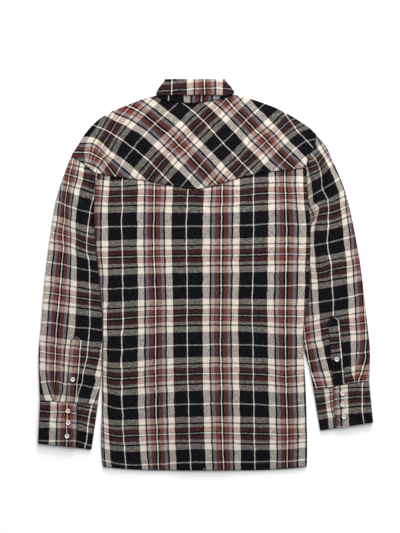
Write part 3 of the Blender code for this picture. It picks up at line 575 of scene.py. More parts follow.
def button_mesh():
    """A turned button with a raised rim, a dished middle, four holes and the thread that holds it."""
    steps = 48
    holes_at = 0.00085            # each hole's place from the middle, both ways, and its radius
    hole = 0.00042
    dish = 0.00125
    strand = 0.00020              # the thread's radius, and half the way from strand to strand
    apart = 0.00016
    slack, arch, over = 0.00020, 0.00030, 0.00012
    into_hole = 0.0010
    profile = [
        (0.0000, dish), (0.0012, dish), (0.0024, 0.00128), (0.0029, 0.00145), (0.0033, 0.00195),
        (0.0037, 0.00232), (0.0041, 0.00240), (0.0045, 0.00220), (0.0048, 0.00165), (0.0047, 0.00100),
        (0.0042, 0.00035), (0.0036, 0.00000), (0.0000, 0.00000),
    ]
    outline = bpy.data.meshes.new("button profile")
    outline.from_pydata([(x, 0, z) for x, z in profile], [(at, at + 1) for at in range(len(profile) - 1)], [])
    turned_button = placed("button profile", outline)
    lathe = turned_button.modifiers.new("Turn", "SCREW")
    lathe.steps = steps
    lathe.render_steps = steps
    lathe.use_merge_vertices = True
    lathe.merge_threshold = 0.00001
    drill_points, drill_faces = [], []
    sides = 12
    for x, y in SQUARE:
        base = len(drill_points)
        for z in (-0.001, 0.004):
            for side in range(sides):
                angle = 2 * math.pi * side / sides
                at_x = x * holes_at + hole * math.cos(angle)
                at_y = y * holes_at + hole * math.sin(angle)
                drill_points.append((at_x, at_y, z))
        for side in range(sides):
            after = (side + 1) % sides
            drill_faces.append((base + side, base + after, base + sides + after, base + sides + side))
        drill_faces.append([base + side for side in reversed(range(sides))])
        drill_faces.append([base + sides + side for side in range(sides)])
    drill_mesh = bpy.data.meshes.new("drill")
    drill_mesh.from_pydata(drill_points, [], drill_faces)
    drill = placed("drill", drill_mesh)
    drilled = turned_button.modifiers.new("Holes", "BOOLEAN")
    drilled.operation = "DIFFERENCE"
    drilled.solver = "EXACT"
    drilled.object = drill
    bpy.context.view_layer.update()
    evaluated = turned_button.evaluated_get(bpy.context.evaluated_depsgraph_get())
    mesh = bpy.data.meshes.new_from_object(evaluated)
    mesh.name = "button"
    bpy.data.objects.remove(turned_button)
    bpy.data.objects.remove(drill)

    # Two strands on each of two crossing ways, from hole to hole
    points = [tuple(vertex.co) for vertex in mesh.vertices]
    faces = [tuple(face.vertices) for face in mesh.polygons]
    body_faces = len(faces)
    ring = 8
    for turn in (1, -1):
        for shift in (-apart, apart):
            path = []
            for share in np.linspace(-1, 1, 11):
                rise = dish + slack + arch * (1 - abs(share) ** 3) + (over if turn > 0 else 0)
                rise -= into_hole if abs(share) == 1 else 0.0
                path.append(np.array([share * holes_at, share * holes_at * turn, rise]))
            side_way = np.array([-turn, 1, 0]) / math.sqrt(2)
            base = len(points)
            for place in path:
                for step in range(ring):
                    angle = 2 * math.pi * step / ring
                    away = side_way * (math.cos(angle) * strand + shift)
                    points.append(tuple(place + away + (0, 0, math.sin(angle) * strand)))
            for at in range(len(path) - 1):
                for step in range(ring):
                    after = (step + 1) % ring
                    faces.append((base + at * ring + step, base + at * ring + after,
                                  base + (at + 1) * ring + after, base + (at + 1) * ring + step))
            faces.append([base + step for step in reversed(range(ring))])
            faces.append([base + (len(path) - 1) * ring + step for step in range(ring)])
    whole = bpy.data.meshes.new("button")
    whole.from_pydata(points, [], faces)
    whole.materials.append(pearl())
    whole.materials.append(thread)
    materials = np.zeros(len(faces), int)
    materials[body_faces:] = 1
    whole.polygons.foreach_set("material_index", materials)
    whole.shade_smooth()
    whole.set_sharp_from_angle(angle=math.radians(42))
    return whole


thread = sewing_thread()
button = button_mesh()


def add_button(node, place, turn, tilt=0.0):
    """A button that stands for that CAD node, turned in its plane and tipped over."""
    piece = placed(node + "_pearl", button)
    piece.location = place
    piece.rotation_euler = (tilt, 0, turn)
    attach(piece, "root")
    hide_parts(node)


for number in range(FRONT_BUTTONS):
    at_y = BUTTON_TOP - BUTTON_PITCH * number
    add_button(f"front_button_{number + 1}", (front_centre(at_y), at_y, BUTTON_HEIGHT), 0.4 * number, math.pi)

# ---------------------------------------------------------------- The back panel
# One panel from the yoke seam to the hem, with open side vents and a turned hem. Between the vents
# and the armpits it folds over to the fronts. It lies loose, with slow swells and soft creases.
YOKE_SEAM = [
    (-0.2335, 0.2155), (-0.183, 0.2063), (-0.126, 0.1989), (-0.077, 0.1893), (-0.014, 0.1819),
    (0.020, 0.1893), (0.069, 0.2042), (0.118, 0.2158), (0.166, 0.2211), (0.2135, 0.2264),
]
UNDER_YOKE = 0.006
HEM_FOLD = 0.014              # how deep the hem is turned up
BACK_HEM_TURN = 0.0009        # and what it adds to the wall
OVER_CLOSING = 0.0018
CLOSING_REACH = (0.034, 0.078)
CLOSING_FROM = (-0.350, -0.305)   # gone above the first depth, whole below the second
SWELL = 0.0004                # how high the loose cloth's slow and small swells stand
SMALL_SWELL = 0.00022
VENT_BEND = 0.36              # how far the edges turn under by the vents, in half turns
ARMHOLE_BEND = 0.12           # and by the armholes
HEM_ENDS = (-0.215, 0.2125)
HEM_STITCHED = (-0.206, 0.204)
PUCKER = 0.00028
SUNK = 0.0016                 # how far the back sinks at the hem and under the yoke
FIT_EASE = 0.00003            # how loosely the cloth follows its measured places
# Where the back's warp lines lie at these heights, and its weft lines at these places across, all in
# millimetres on the shirt; each line is named by how far it was along the flat cloth, in metres
BACK_HEIGHTS = [199.9, 178.7, 157.5, 132.1, 102.4, 62.1, 38.8, 9.1, -24.8, -65.1, -118.1, -149.9,
                -213.5, -275, -308.9, -338.6, -372.5, -397.9]
BACK_WARPS = {
    -0.1913: [-219.8, -222, -224.3, -226.2, -226, -226.8, -225.4, -221.1, -220.3, -219, -219, -219, -219,
             -218.6, -219.8, -219.4, -218.4, -216.2],
    -0.1779: [-208.8, -210.9, -213.1, -213.7, -213.3, -213.5, -213.1, -212.8, -212.8, -213.1, -213.7,
             -213.9, -213.9, -213.3, -211.8, -210.5, -208.8, -206.7],
    -0.1391: [-177.7, -177, -176, -176.6, -177.9, -177, -176.4, -175.3, -174.7, -174.7, -175.3, -176.4,
             -177, -176.2, -175.3, -174.1, -171.5, -169],
    -0.1003: [-136.7, -136.7, -137.2, -137.8, -138, -138, -137.8, -137.2, -136.7, -136.3, -136.5, -137,
             -136.7, -136.1, -134.6, -133.8, -131.7, -128.9],
    -0.0695: [-107.9, -108.1, -108.8, -109.6, -110, -109.8, -109.2, -108.1, -107.1, -105.8, -106.2, -106,
             -105.6, -104.5, -103.5, -102.8, -101.1, -99.9],
    -0.0388: [-75.3, -76.5, -78, -78.7, -79.1, -79.1, -78.9, -77.8, -76.7, -75.9, -75.5, -75.5, -74.6,
             -73.4, -72.5, -72.1, -70.6, -69.1],
    0.0000: [-36.3, -37.1, -38.4, -39.6, -40.7, -40.5, -40.3, -39.6, -38.8, -38.8, -39.2, -38.6, -37.9,
             -36, -35.4, -34.6, -32.9, -31.6],
    0.0388: [5.3, 4, 3.2, 2.1, 1.7, 1.1, 1.1, 1.3, 1.5, 1.3, 0.8, 1.1, 1.5, 3, 3.8, 4.7, 5.7, 7],
    0.0695: [36.5, 35.6, 34.8, 34.1, 33.7, 33.1, 32.9, 32.9, 32.9, 32.4, 31.2, 31.6, 32.9, 34.3, 35,
             35.6, 36.5, 37.5],
    0.1003: [66.1, 65.7, 65.5, 65.3, 65.1, 64.7, 64.2, 63.8, 63.4, 62.5, 62.1, 62.5, 63.8, 64.9, 65.7,
             66.6, 67.2, 68.1],
    0.1391: [101.3, 101.8, 101.8, 101.5, 101.3, 100.9, 100.7, 100.5, 100.1, 98.4, 99.4, 100.3, 101.1,
             102.6, 102.8, 103.2, 104.1, 104.3],
    0.1779: [141, 139.3, 139.3, 141, 139.9, 139.3, 138.9, 138.4, 138, 137.2, 138.6, 138.9, 139.5, 141,
             141.8, 142.7, 143.1, 143.5],
    0.2087: [167.7, 169, 169.6, 170.7, 171.5, 171.1, 171.1, 170.7, 170, 169.4, 169, 169.2, 170, 171.9,
             172.8, 173.4, 173.4, 172.8],
    0.2394: [198.9, 199.3, 200.3, 203.7, 205, 205, 204.2, 202.9, 202.9, 201.2, 200.0, 200.2, 200.3,
             202.1, 203.2, 203.8, 203.8, 203.2],
}
BACK_ACROSS = [-217.3, -210.9, -202.5, -191.9, -177, -160.1, -136.7, -107.1, -77.4, -39.2, 1.1, 32.9,
               64.7, 100.7, 119.8, 138.9, 170.7, 189.7, 202.5, 213.1]
BACK_WEFTS = {
    0.0841: [186.6, 185.5, 183.4, 182.3, 185.1, 188.9, 189.5, 188, 186.8, 185.3, 185.1, 187.2, 186.6,
             191.4, 192.7, 193.1, 193.8, 194.8, 192.3, 189.3],
    0.0625: [165.4, 164.7, 163.5, 162, 165.6, 167.7, 166.6, 166, 165.4, 165.6, 165.1, 164.7, 166, 168.5,
             170.2, 171.7, 171.1, 172.8, 171.3, 168.1],
    0.0409: [144.8, 144.2, 144.2, 143.9, 144.8, 145.2, 145.2, 145.2, 144.8, 144.4, 143.7, 143.9, 144.8,
             146.9, 148.4, 149.5, 151.2, 151.2, 149.5, 146.9],
    0.0000: [99.2, 99.9, 100.3, 100.7, 101.1, 101.5, 101.8, 101.8, 100.9, 101.3, 101.8, 102.4, 103,
             104.5, 105.8, 107.1, 107.1, 106.6, 106.2, 105.2],
    -0.0409: [56.6, 57, 57.5, 58.1, 58.7, 59.4, 59.4, 60, 60, 60.4, 61.1, 61.3, 61.7, 63.2, 63.8, 64.7,
             64.9, 64.7, 64.2, 63.8],
    -0.0625: [35, 35, 35.6, 36, 36.3, 36.7, 37.1, 37.7, 38.2, 38.8, 39.2, 39.4, 39.9, 40.9, 41.6, 42.2,
             42.4, 42.2, 42, 42.6],
    -0.0841: [11.4, 11.7, 12.1, 12.5, 13.1, 14.2, 14.8, 15.5, 15.9, 16.7, 17.6, 18, 18.2, 19.1, 19.3,
             19.7, 20.1, 20.1, 20.1, 20.8],
    -0.1250: [-31.2, -31.2, -31.2, -30.7, -30.3, -29, -28, -26.9, -26.1, -25, -24.8, -24.8, -24.8, -24.6,
             -24.6, -24.6, -24.6, -24, -23.3, -21.8],
    -0.1659: [-73.4, -73.1, -72.9, -72.5, -71.7, -70.4, -68.9, -67.6, -66.8, -65.5, -65.1, -65.1, -65.7,
             -66.4, -66.6, -66.8, -67.2, -67.2, -67.2, -66.4],
    -0.1875: [-95.6, -95.8, -95.6, -95.2, -94.6, -93.1, -91.2, -89.7, -88.6, -87.1, -86.3, -86.7, -86.9,
             -87.6, -88, -88.4, -89.7, -89.7, -89.5, -88.8],
    -0.2091: [-116.8, -117.2, -117, -116.6, -116, -115.1, -113.8, -111.7, -110.2, -109, -107.9, -107.5,
             -107.9, -108.8, -109.6, -110.9, -112.8, -113, -112.8, -111.7],
    -0.2500: [-157.5, -158.6, -159.4, -160.1, -160.1, -158.8, -156.2, -153.7, -151.2, -149.9, -149.5,
             -149, -149.2, -150.3, -151.4, -152.6, -154.5, -154.3, -153.7, -150.9],
    -0.2909: [-195, -198.2, -199.9, -200.6, -200.3, -199.1, -196.9, -194, -191.9, -189.7, -188.7, -188.5,
             -188.9, -190.2, -191, -192.3, -195.3, -194.4, -193.3, -190.2],
    -0.3125: [-214.5, -218.8, -221.1, -222.2, -222, -220.3, -218.1, -215.6, -213.5, -211.8, -210.7,
             -210.5, -210.9, -212.2, -213.1, -214.3, -217.3, -216.5, -215.2, -211.4],
    -0.3341: [-235.7, -240.2, -242.3, -243.2, -242.7, -241.5, -240, -237.4, -235.3, -233.2, -232.1,
             -231.7, -232.1, -233.2, -234, -235.3, -238.1, -237.4, -236.2, -232.6],
    -0.3750: [-271.8, -279.2, -282.8, -284.1, -284.5, -283.9, -282.2, -279.6, -277.1, -275.6, -274.5,
             -274.1, -274.3, -275.6, -276.4, -277.5, -280.3, -280.1, -277.9, -273.9],
    -0.4159: [-314.2, -318.4, -320.5, -321.2, -321.6, -321.6, -320.1, -319.1, -317.4, -315.9, -314.8,
             -314.4, -315.2, -316.1, -316.7, -317.4, -318.8, -318.8, -318, -314.2],
    -0.4375: [-333.3, -337.5, -340.7, -342.8, -343.4, -342.8, -341.1, -340.3, -339, -337.9, -336.4,
             -336.4, -336.9, -338.1, -338.6, -339.2, -340.3, -339.8, -338.6, -334.3],
    -0.4591: [-353.4, -357.6, -360.2, -361.5, -362.5, -362.5, -361.5, -360.2, -359.3, -357.6, -357.2,
             -358.7, -358.3, -360.2, -359.8, -359.3, -358.9, -358.1, -356.2, -352.3],
    -0.5000: [-393.3, -395.2, -397.1, -400, -403.4, -403.9, -403.9, -402.8, -400.7, -398.6, -397.9,
             -397.9, -397.9, -397.5, -396.7, -396.4, -396.9, -395.4, -393.7, -391.6],
}
# Each crease in millimetres: where it starts and ends, its width, its height and how far it bows
Crease = namedtuple("Crease", "x y to_x to_y width height bow")
BACK_CREASES = [
    (-225, 45, -120, -75, 16, 1.6, 6), (-222, 10, -150, -150, 14, -0.9, -8),
    (-210, -60, -175, -300, 18, 1.2, 10), (205, 50, 105, -60, 16, 1.4, -6), (205, 0, 150, -170, 14, -0.9, 8),
    (190, -120, 165, -360, 18, 1.2, -8), (-90, 170, -105, -20, 20, 0.7, 6), (75, 180, 60, 10, 20, 0.8, -6),
    (-60, -120, -85, -390, 20, 1.2, 12), (60, -160, 75, -400, 18, 1.2, -10),
    (-150, -230, -140, -405, 14, -1, 6), (10, -250, 0, -405, 16, -0.8, 4),
    (-231.2, 224, -226.8, 190, 3.5, -3, 0), (200.5, 240, 208.5, 40, 6.5, 3.2, 0),
    (209, 110, 194.5, -150, 6.5, 2.6, 0), (193.5, -100, 200, -310, 6.5, 2.4, 0),
    (-221, 210, -219, 20, 6, 2.8, 0),
]


def creased(x, y, rows):
    """The height that soft ridges and troughs add, uneven along their length."""
    total = np.zeros_like(x)
    for number, row in enumerate(rows):
        crease = Crease(*(value / 1000 for value in row))
        run_x, run_y = crease.to_x - crease.x, crease.to_y - crease.y
        run = math.hypot(run_x, run_y)
        share = ((x - crease.x) * run_x + (y - crease.y) * run_y) / run ** 2
        side = ((x - crease.x) * run_y - (y - crease.y) * run_x) / run
        side = side - crease.bow * 4 * share * (1 - share)
        fade = smooth(share, 0.0, 0.35) * smooth(-share, -1.0, -0.65)
        uneven = 1 + 0.25 * np.sin(9 * share + 2.3 * number) + 0.12 * np.sin(23 * share + number)
        total = total + crease.height * fade * uneven * np.exp(-(side / crease.width) ** 2)
    return total


def swells(x, y):
    """Slow unevenness of cloth that lies loose."""
    slow = np.sin(23 * x + 9 * y) * np.cos(11 * y - 6 * x)
    return SWELL * slow + SMALL_SWELL * np.sin(61 * x - 17 * y + 1.3) * np.sin(47 * y + 19 * x)


def back_level(x, y):
    """The back's and the yoke's upper layer, as it lies over the closing."""
    lift = OVER_CLOSING * near(x - front_centre(y), *CLOSING_REACH) * smooth(-y, *CLOSING_FROM)
    return BACK_LEVEL + lift + swells(x, y)


roll_columns, back_columns, back_rows = 9, 150, 200
back_part = np.linspace(0, 1, back_columns)
seam_x = mix(YOKE_SEAM[0][0], YOKE_SEAM[-1][0], back_part)
seam_y = read(YOKE_SEAM, seam_x) + UNDER_YOKE
hem_y = hem(mix(*HEM_ENDS, back_part))
row_share = np.concatenate([np.linspace(0, 0.045, 14)[:-1], np.linspace(0.045, 1, back_rows)])[:, None]
back_y = mix(hem_y[None, :], seam_y[None, :], row_share)


def side_bend(y):
    """How far the back's edge turns under: half a turn at the side seams, less at vents and armholes."""
    at_vent = mix(VENT_BEND, 1.0, smooth(y, VENT_TOP - 0.012, VENT_TOP + 0.03))
    return mix(at_vent, ARMHOLE_BEND, smooth(y, ARMPIT - 0.015, ARMPIT + 0.035))


def side_reach(y):
    bend = side_bend(y)
    return ROLL / bend * np.sin(np.minimum(bend, 0.5) * math.pi) + WALL / 2 * bend


start_left = body_edge(-1, back_y) + side_reach(back_y)
start_right = body_edge(1, back_y) - side_reach(back_y)
back_x = mix(start_left, start_right, back_part[None, :])
above_hem = back_y - hem_y[None, :]
below_seam = seam_y[None, :] - back_y
pucker = np.sin(back_x * 420 + 2 * np.sin(back_x * 37)) * PUCKER
back_z = back_level(back_x, back_y) + creased(back_x, back_y, BACK_CREASES)
back_z += pucker * np.exp(-above_hem / HEM_FOLD) - SUNK * np.exp(-above_hem / 0.02)
back_z += np.where(below_seam < 0.04, pucker * np.exp(-np.maximum(below_seam - UNDER_YOKE, 0) / 0.008), 0)
back_z -= SUNK * smooth(-below_seam, -0.016, -UNDER_YOKE)


def fitted(rows):
    """A smooth map through measured rows: a place on the shirt, then its place on the flat cloth."""
    rows = np.array(rows, float)
    places, values = rows[:, :2], rows[:, 2:]
    count = len(places)

    def bend(gaps):
        square = (gaps ** 2).sum(axis=-1)
        return square * np.log(np.maximum(square, 1e-12))

    level = np.column_stack([np.ones(count), places])
    eased = bend(places[:, None] - places) + np.eye(count) * FIT_EASE
    system = np.block([[eased, level], [level.T, np.zeros((3, 3))]])
    weights = np.linalg.solve(system, np.concatenate([values, np.zeros((3, 2))]))

    def at(x, y):
        asked = np.stack([x, y], axis=-1)
        bent = bend(asked[..., None, :] - places) @ weights[:count]
        return bent + weights[count] + asked @ weights[count + 1:]

    return at


def line_crossing(across, down):
    """Where a warp line and a weft line of the back cross, in metres."""
    x, y = 0.0, down[0]
    for turn in range(4):
        x = np.interp(y, BACK_HEIGHTS[::-1], across[::-1])
        y = np.interp(x, BACK_ACROSS, down)
    return x / 1000, y / 1000


back_plaid = fitted([(*line_crossing(across, down), u, v)
                     for u, across in BACK_WARPS.items() for v, down in BACK_WEFTS.items()])


def top_of(piece):
    """Finds the height of a piece's upper face at a place."""
    tree = BVHTree.FromPolygons([vertex.co for vertex in piece.data.vertices],
                                [face.vertices for face in piece.data.polygons])

    def height(x, y, otherwise=0.0):
        hit = tree.ray_cast(Vector((x, y, 1.0)), Vector((0, 0, -1)))[0]
        return hit.z if hit else otherwise

    return height


STITCH_PITCH = 0.0032
TOPSTITCH = 0.0038            # how far a seam's topstitching lies from its edge
STITCH_LENGTH = 0.0025
THREAD_RADIUS = 0.00021
THREAD_SIDES = 6
# Along a stitch: the share of its length, the thread's thickness and how high it stands, in radii
STITCH_FORM = ((0.0, 0.45, -0.7), (0.22, 1.0, 0.25), (0.78, 1.0, 0.25), (1.0, 0.45, -0.7))


def topstitched(piece, lines):
    """Rows of lockstitches on a piece's upper face, each along a line of places."""
    height = top_of(piece)
    turn = np.linspace(0, 2 * math.pi, THREAD_SIDES + 1)[:-1, None]
    corners, faces = [], []
    for line in lines:
        line = np.array(line, float)
        gone = np.concatenate([[0], np.cumsum(length(np.diff(line, axis=0)))])
        for number in range(int(gone[-1] / STITCH_PITCH)):
            first = len(corners)
            stitch = number * STITCH_PITCH + np.array([0, STITCH_LENGTH])
            ends = np.column_stack([np.interp(stitch, gone, line[:, axis]) for axis in (0, 1)])
            along = units(ends[1] - ends[0])
            across = np.array([-along[1], along[0], 0.0])
            around = across * np.cos(turn) + np.array([0, 0, 1.0]) * np.sin(turn)
            for part, thickness, rise in STITCH_FORM:
                x, y = mix(ends[0], ends[1], part)
                middle_of = np.array([x, y, height(x, y) + rise * THREAD_RADIUS])
                corners.extend(middle_of + around * thickness * THREAD_RADIUS)
            for low in range(first, first + (len(STITCH_FORM) - 1) * THREAD_SIDES, THREAD_SIDES):
                for spot in range(THREAD_SIDES):
                    a, b = low + spot, low + (spot + 1) % THREAD_SIDES
                    faces.append((a, a + THREAD_SIDES, b + THREAD_SIDES, b))
            faces.append(tuple(range(first, first + THREAD_SIDES)))
            faces.append(tuple(reversed(range(len(corners) - THREAD_SIDES, len(corners)))))
    mesh = bpy.data.meshes.new(piece.name + "_stitches")
    mesh.from_pydata([tuple(corner) for corner in corners], [], faces)
    mesh.polygons.foreach_set("use_smooth", np.ones(len(faces), bool))
    mesh.materials.append(thread)
    mesh.update()
    placed(piece.name + "_stitches", mesh).parent = piece


flat_x = back_x
middle = np.dstack([back_x, back_y, back_z])
for side, column in ((-1, 0), (1, -1)):
    edge_y = back_y[:, column]
    steps = np.linspace(0, 1, roll_columns + 1)[1:][None, :] * math.pi * ROLL
    start = middle[:, column, :2][:, None, :]
    place, drop = turned(start, np.array([side, 0.0]), steps, side_bend(edge_y)[:, None], ROLL)
    rolled = np.dstack([place, middle[:, column, 2][:, None] - drop])
    unrolled = back_x[:, column][:, None] + side * steps
    middle = np.concatenate([rolled[:, ::-1], middle] if side < 0 else [middle, rolled], axis=1)
    flat_x = np.concatenate([unrolled[:, ::-1], flat_x] if side < 0 else [flat_x, unrolled], axis=1)
hem_height = middle[..., 1] - hem(middle[..., 0])
back_wall = WALL + BACK_HEM_TURN * near(hem_height, HEM_FOLD, 0.017)
back_cut = back_plaid(flat_x, middle[..., 1])
back = sewn("back_panel", middle, back_cut, back_wall, (0.50, 0.66), area=0.285)
hem_x = np.linspace(*HEM_STITCHED, 60)
topstitched(back, [np.column_stack([hem_x, hem(hem_x) + HEM_FOLD])])

# ---------------------------------------------------------------- The yoke
# A bias-cut western yoke with a point at the centre back. It folds forward over the shoulders to the
# fronts, and its turned lower edge is topstitched down over the back panel.
SHOULDER_COLUMNS = 54
NECK_COLUMNS = 48
NECK_SEAM = [(-0.1049, 0.3785), (-0.0922, 0.3712), (-0.0562, 0.3650), (-0.0117, 0.3640), (0.0151, 0.3693),
             (0.0418, 0.3738), (0.0604, 0.3810)]
YOKE_OVER = 0.0003
YOKE_TURN = 0.0007            # what its turned lower edge adds to the wall
TURNED_REACH = (0.007, 0.009)
TURNED_ROWS = 24
YOKE_STITCHED = (-0.226, 0.207)
YOKE_PUCKER = 0.00030
STITCHED_IN = 0.00032         # how far the topstitching pulls the cloth down
YOKE_CREASES = [
    (-245, 255, -150, 225, 14, 1.1, 4), (-215, 300, -110, 262, 16, 1, -6), (-120, 345, -60, 240, 18, 0.9, 8),
    (205, 270, 120, 240, 14, 1, -4), (165, 320, 90, 250, 16, 1, 6), (60, 350, 30, 250, 18, 0.8, -6),
]

# The yoke is cut on the bias. Where its stripes cross, in millimetres: for each warp line, its place
# across the flat cloth, the places of its weft lines there, and the crossings' x and y on the shirt.
# One number for the weft lines is the first of a run of WEFT_LINES that leaves none out
WEFT_LINES = [round(-1000 * WEFT_REPEAT * repeat - line, 1)
              for repeat in range(-1, 4) for line in (0, 27.3, 40.9, 62.5, 84.1, 97.7)]
YOKE_CROSSINGS = [
    (-230.9, [-233, -210, -187.5, -165.9], [-266.1, 238.1, -248, 234.9, -241.7, 231.7, -227.9, 225.4]),
    (-208.7, [-240.1, -222.7, -209.1, -187.5, -165.9, -152.3, -125],
        [-274.5, 258.2, -257.2, 258.4, -243.2, 257.2, -232.1, 251.4, -216.7, 241.3, -208.2, 230.7,
         -190.8, 207.3]),
    (-177.9, [-235.2, -222.7, -209.1, -187.5, -165.9, -152.3, -125],
        [-261.8, 283.4, -249.7, 284.7, -236.4, 283, -219.8, 270.7, -204.6, 255.5, -194, 248.7, -176, 236]),
    (-139.1, [-229.9, -222.7, -209.1, -187.5, -165.9, -125, -84.1, -62.5, -40.9],
        [-237.4, 315.9, -230.7, 313.5, -219.4, 309.1, -201.4, 299.6, -185.7, 290.4, -153.1, 267.8,
         -119.8, 240.2, -104.9, 224.7, -88.6, 208.4]),
    (-100.3, [-187.5, -165.9, -152.3, -125, -97.7, -84.1, -62.5, -40.9, 0],
        [-184.9, 328.8, -162.2, 319.3, -152.6, 312.7, -127.8, 297, -107.1, 278.4, -94.3, 266.5, -79.5, 252.9,
         -63.6, 236, -33.9, 206.3]),
    (-69.5, [-187.5, -165.9, -125, -84.1, -62.5, -40.9, 0, 40.9],
        [-161.1, 355.1, -140.3, 345.1, -107.1, 319.5, -71.4, 289.4, -56.2, 274.1, -40.3, 258.6, -12.7, 229.6,
         15.9, 199.3]),
    (-38.8, [-165.9, -125, -97.7, -84.1, -62.5, -40.9, 0, 27.3, 40.9],
        [-117.7, 365.7, -83.7, 339.8, -59.8, 320.8, -49.8, 311.9, -35, 295.3, -19.1, 279.4, 8.5, 253.3,
         28, 232.8, 36.7, 222.8]),
    (0, [-125, -84.1, -62.5, -40.9, 0, 40.9, 62.5, 84.1],
        [-54.1, 366.5, -20.1, 339.8, -5.3, 325, 10.4, 308.5, 36.7, 278.8, 65.3, 249.1, 78.7, 235.1,
         93.1, 220.1]),
    (38.8, [-84.1, -62.5, -40.9, 0, 40.9, 62.5, 84.1, 97.7, 125],
        [6.4, 362.1, 21.2, 350.4, 37.1, 334.1, 65.5, 305.5, 91.2, 276.7, 107.1, 261, 121.9, 246.6,
         128.3, 237.4, 148.4, 220.5]),
    (69.5, [-62.5, -40.9, 0, 40.9, 62.5, 84.1, 125],
        [43.5, 371, 58.3, 354.7, 85.9, 326.3, 114.5, 297.4, 129.1, 282.6, 143.1, 267.8, 167.5, 241.9]),
    (100.3, [0, 40.9, 62.5, 84.1, 125, 152.3],
        [107.1, 345.6, 136.7, 315.5, 152.2, 300.6, 164.3, 287.5, 187.6, 263.9, 206.1, 245.5]),
    (139.1, [40.9, 62.5, 84.1, 97.7, 125, 152.3],
        [166.8, 343, 179.1, 326.1, 191.2, 308, 198.2, 299.6, 215.2, 282.6, 234.3, 261.4]),
    (158.6, [62.5, 84.1, 125], [195, 332.8, 208.8, 316.5, 234.3, 286.8]),
]


def rows_of(crossings):
    """Each crossing in metres: its x and y on the shirt, then its place on the flat cloth."""
    rows = []
    for warp, wefts, places in crossings:
        places = np.reshape(places, (-1, 2))
        if not isinstance(wefts, list):
            first = WEFT_LINES.index(wefts)
            wefts = WEFT_LINES[first:first + len(places)]
        rows += [(x / 1000, y / 1000, warp / 1000, weft / 1000) for (x, y), weft in zip(places, wefts)]
    return rows


yoke_plaid = fitted(rows_of(YOKE_CROSSINGS))

shoulder_parts = np.arange(SHOULDER_COLUMNS) / SHOULDER_COLUMNS
neck_x = mix(NECK_SEAM[0][0], NECK_SEAM[-1][0], np.arange(NECK_COLUMNS + 1) / NECK_COLUMNS)
edges = np.concatenate([
    read(SHOULDERS[-1], shoulder_parts),
    np.column_stack([neck_x, read(NECK_SEAM, neck_x)]),
    read(SHOULDERS[1], shoulder_parts[::-1]),
])
sides = np.repeat([-1, 0, 1], [SHOULDER_COLUMNS + 1, NECK_COLUMNS - 1, SHOULDER_COLUMNS + 1])
parts = np.concatenate([shoulder_parts, [1.0], np.full(NECK_COLUMNS - 1, 0.5), [1.0], shoulder_parts[::-1]])
yoke_across = (edges[:, 0] - SHOULDERS[-1][0][1]) / (SHOULDERS[1][0][1] - SHOULDERS[-1][0][1])
low_x = mix(YOKE_SEAM[0][0], YOKE_SEAM[-1][0], yoke_across)
low = np.stack([low_x, read(YOKE_SEAM, low_x)], axis=-1)
deep, inward = edges.copy(), np.tile([0.0, -1.0], (len(edges), 1))
for column, (side, part) in enumerate(zip(sides, parts)):
    if side:
        deep[column] = forward(side, part, 1) + (0, SEAM / 2)
        inward[column] = deep[column] - edges[column]
        if part == 0:
            inward[column] = armhole(side, 0) - armhole(side, 1)
            deep[column] = armhole(side, 1) + units(inward[column]) * FORWARD_SEAM
inward = units(inward)
top_level = back_level(edges[:, 0], edges[:, 1]) + YOKE_OVER
low_level = FRONT_LEVEL + front_lift(edges[:, 0], edges[:, 1])
radius = (top_level - low_level) / 2
folded = sides != 0
start = np.where(folded[:, None], edges + inward * (radius + WALL / 2)[:, None], edges - (0, SEAM / 2))

yoke_share = np.concatenate([np.linspace(0, 0.10, 16)[:-1], np.linspace(0.10, 1, 62)])
lines, flats = [], []
for share in yoke_share:
    flat = mix(low, start, share)
    for side in SIDES:
        chord_end = mix(armhole(side, 1), armhole(side, 0), 0.05)
        lift = bow(side, mix(armhole(side, 0), chord_end, share))
        flat = flat + lift * (np.where(sides == side, 1 - parts, 0) ** 6)[:, None]
    above = flat[:, 1] - read(YOKE_SEAM, flat[:, 0])
    height = back_level(flat[:, 0], flat[:, 1]) + YOKE_OVER + creased(flat[:, 0], flat[:, 1], YOKE_CREASES)
    ripple = np.sin(flat[:, 0] * 430 + 1.7 * np.sin(flat[:, 0] * 41))
    height += YOKE_PUCKER * ripple * np.exp(-above / 0.012)
    height -= STITCHED_IN * np.exp(-((above - 0.0062) / 0.0016) ** 2)
    height = mix(height, top_level, smooth(share, 0.88, 1.0))
    lines.append(np.column_stack([flat, height]))
    flats.append(flat)
for step in np.linspace(0, 1, 13)[1:]:
    along = math.pi * radius * step
    place, drop = turned(start, -inward, along, 1.0, radius)
    lines.append(np.column_stack([place, top_level - drop]))
    flats.append(start - inward * along[:, None])
for share in np.linspace(0, 1, 10)[1:]:
    flat = mix(start, deep, share)
    height = FRONT_LEVEL + front_lift(flat[:, 0], flat[:, 1])
    lines.append(np.column_stack([flat, mix(low_level, height, share)]))
    flats.append(start - inward * (math.pi * radius + length(flat - start))[:, None])
middle, flats = np.array(lines), np.array(flats)
keep = np.ones((middle.shape[0] - 1, middle.shape[1] - 1), bool)
keep[len(yoke_share) - 1:, SHOULDER_COLUMNS:SHOULDER_COLUMNS + NECK_COLUMNS] = False
turned_edge = near(middle[..., 1] - low[None, :, 1], *TURNED_REACH)
turned_edge[TURNED_ROWS:] = 0
yoke_cut = yoke_plaid(flats[..., 0], flats[..., 1])
yoke_wall = WALL + YOKE_TURN * turned_edge
yoke_flat, yoke_area = (0.55, 0.24), 0.10
yoke = sewn("back_yoke", middle, yoke_cut, yoke_wall, yoke_flat, yoke_area, keep)
edge_x = np.linspace(*YOKE_STITCHED, 120)
topstitched(yoke, [np.column_stack([edge_x, read(YOKE_SEAM, edge_x) + TOPSTITCH])])

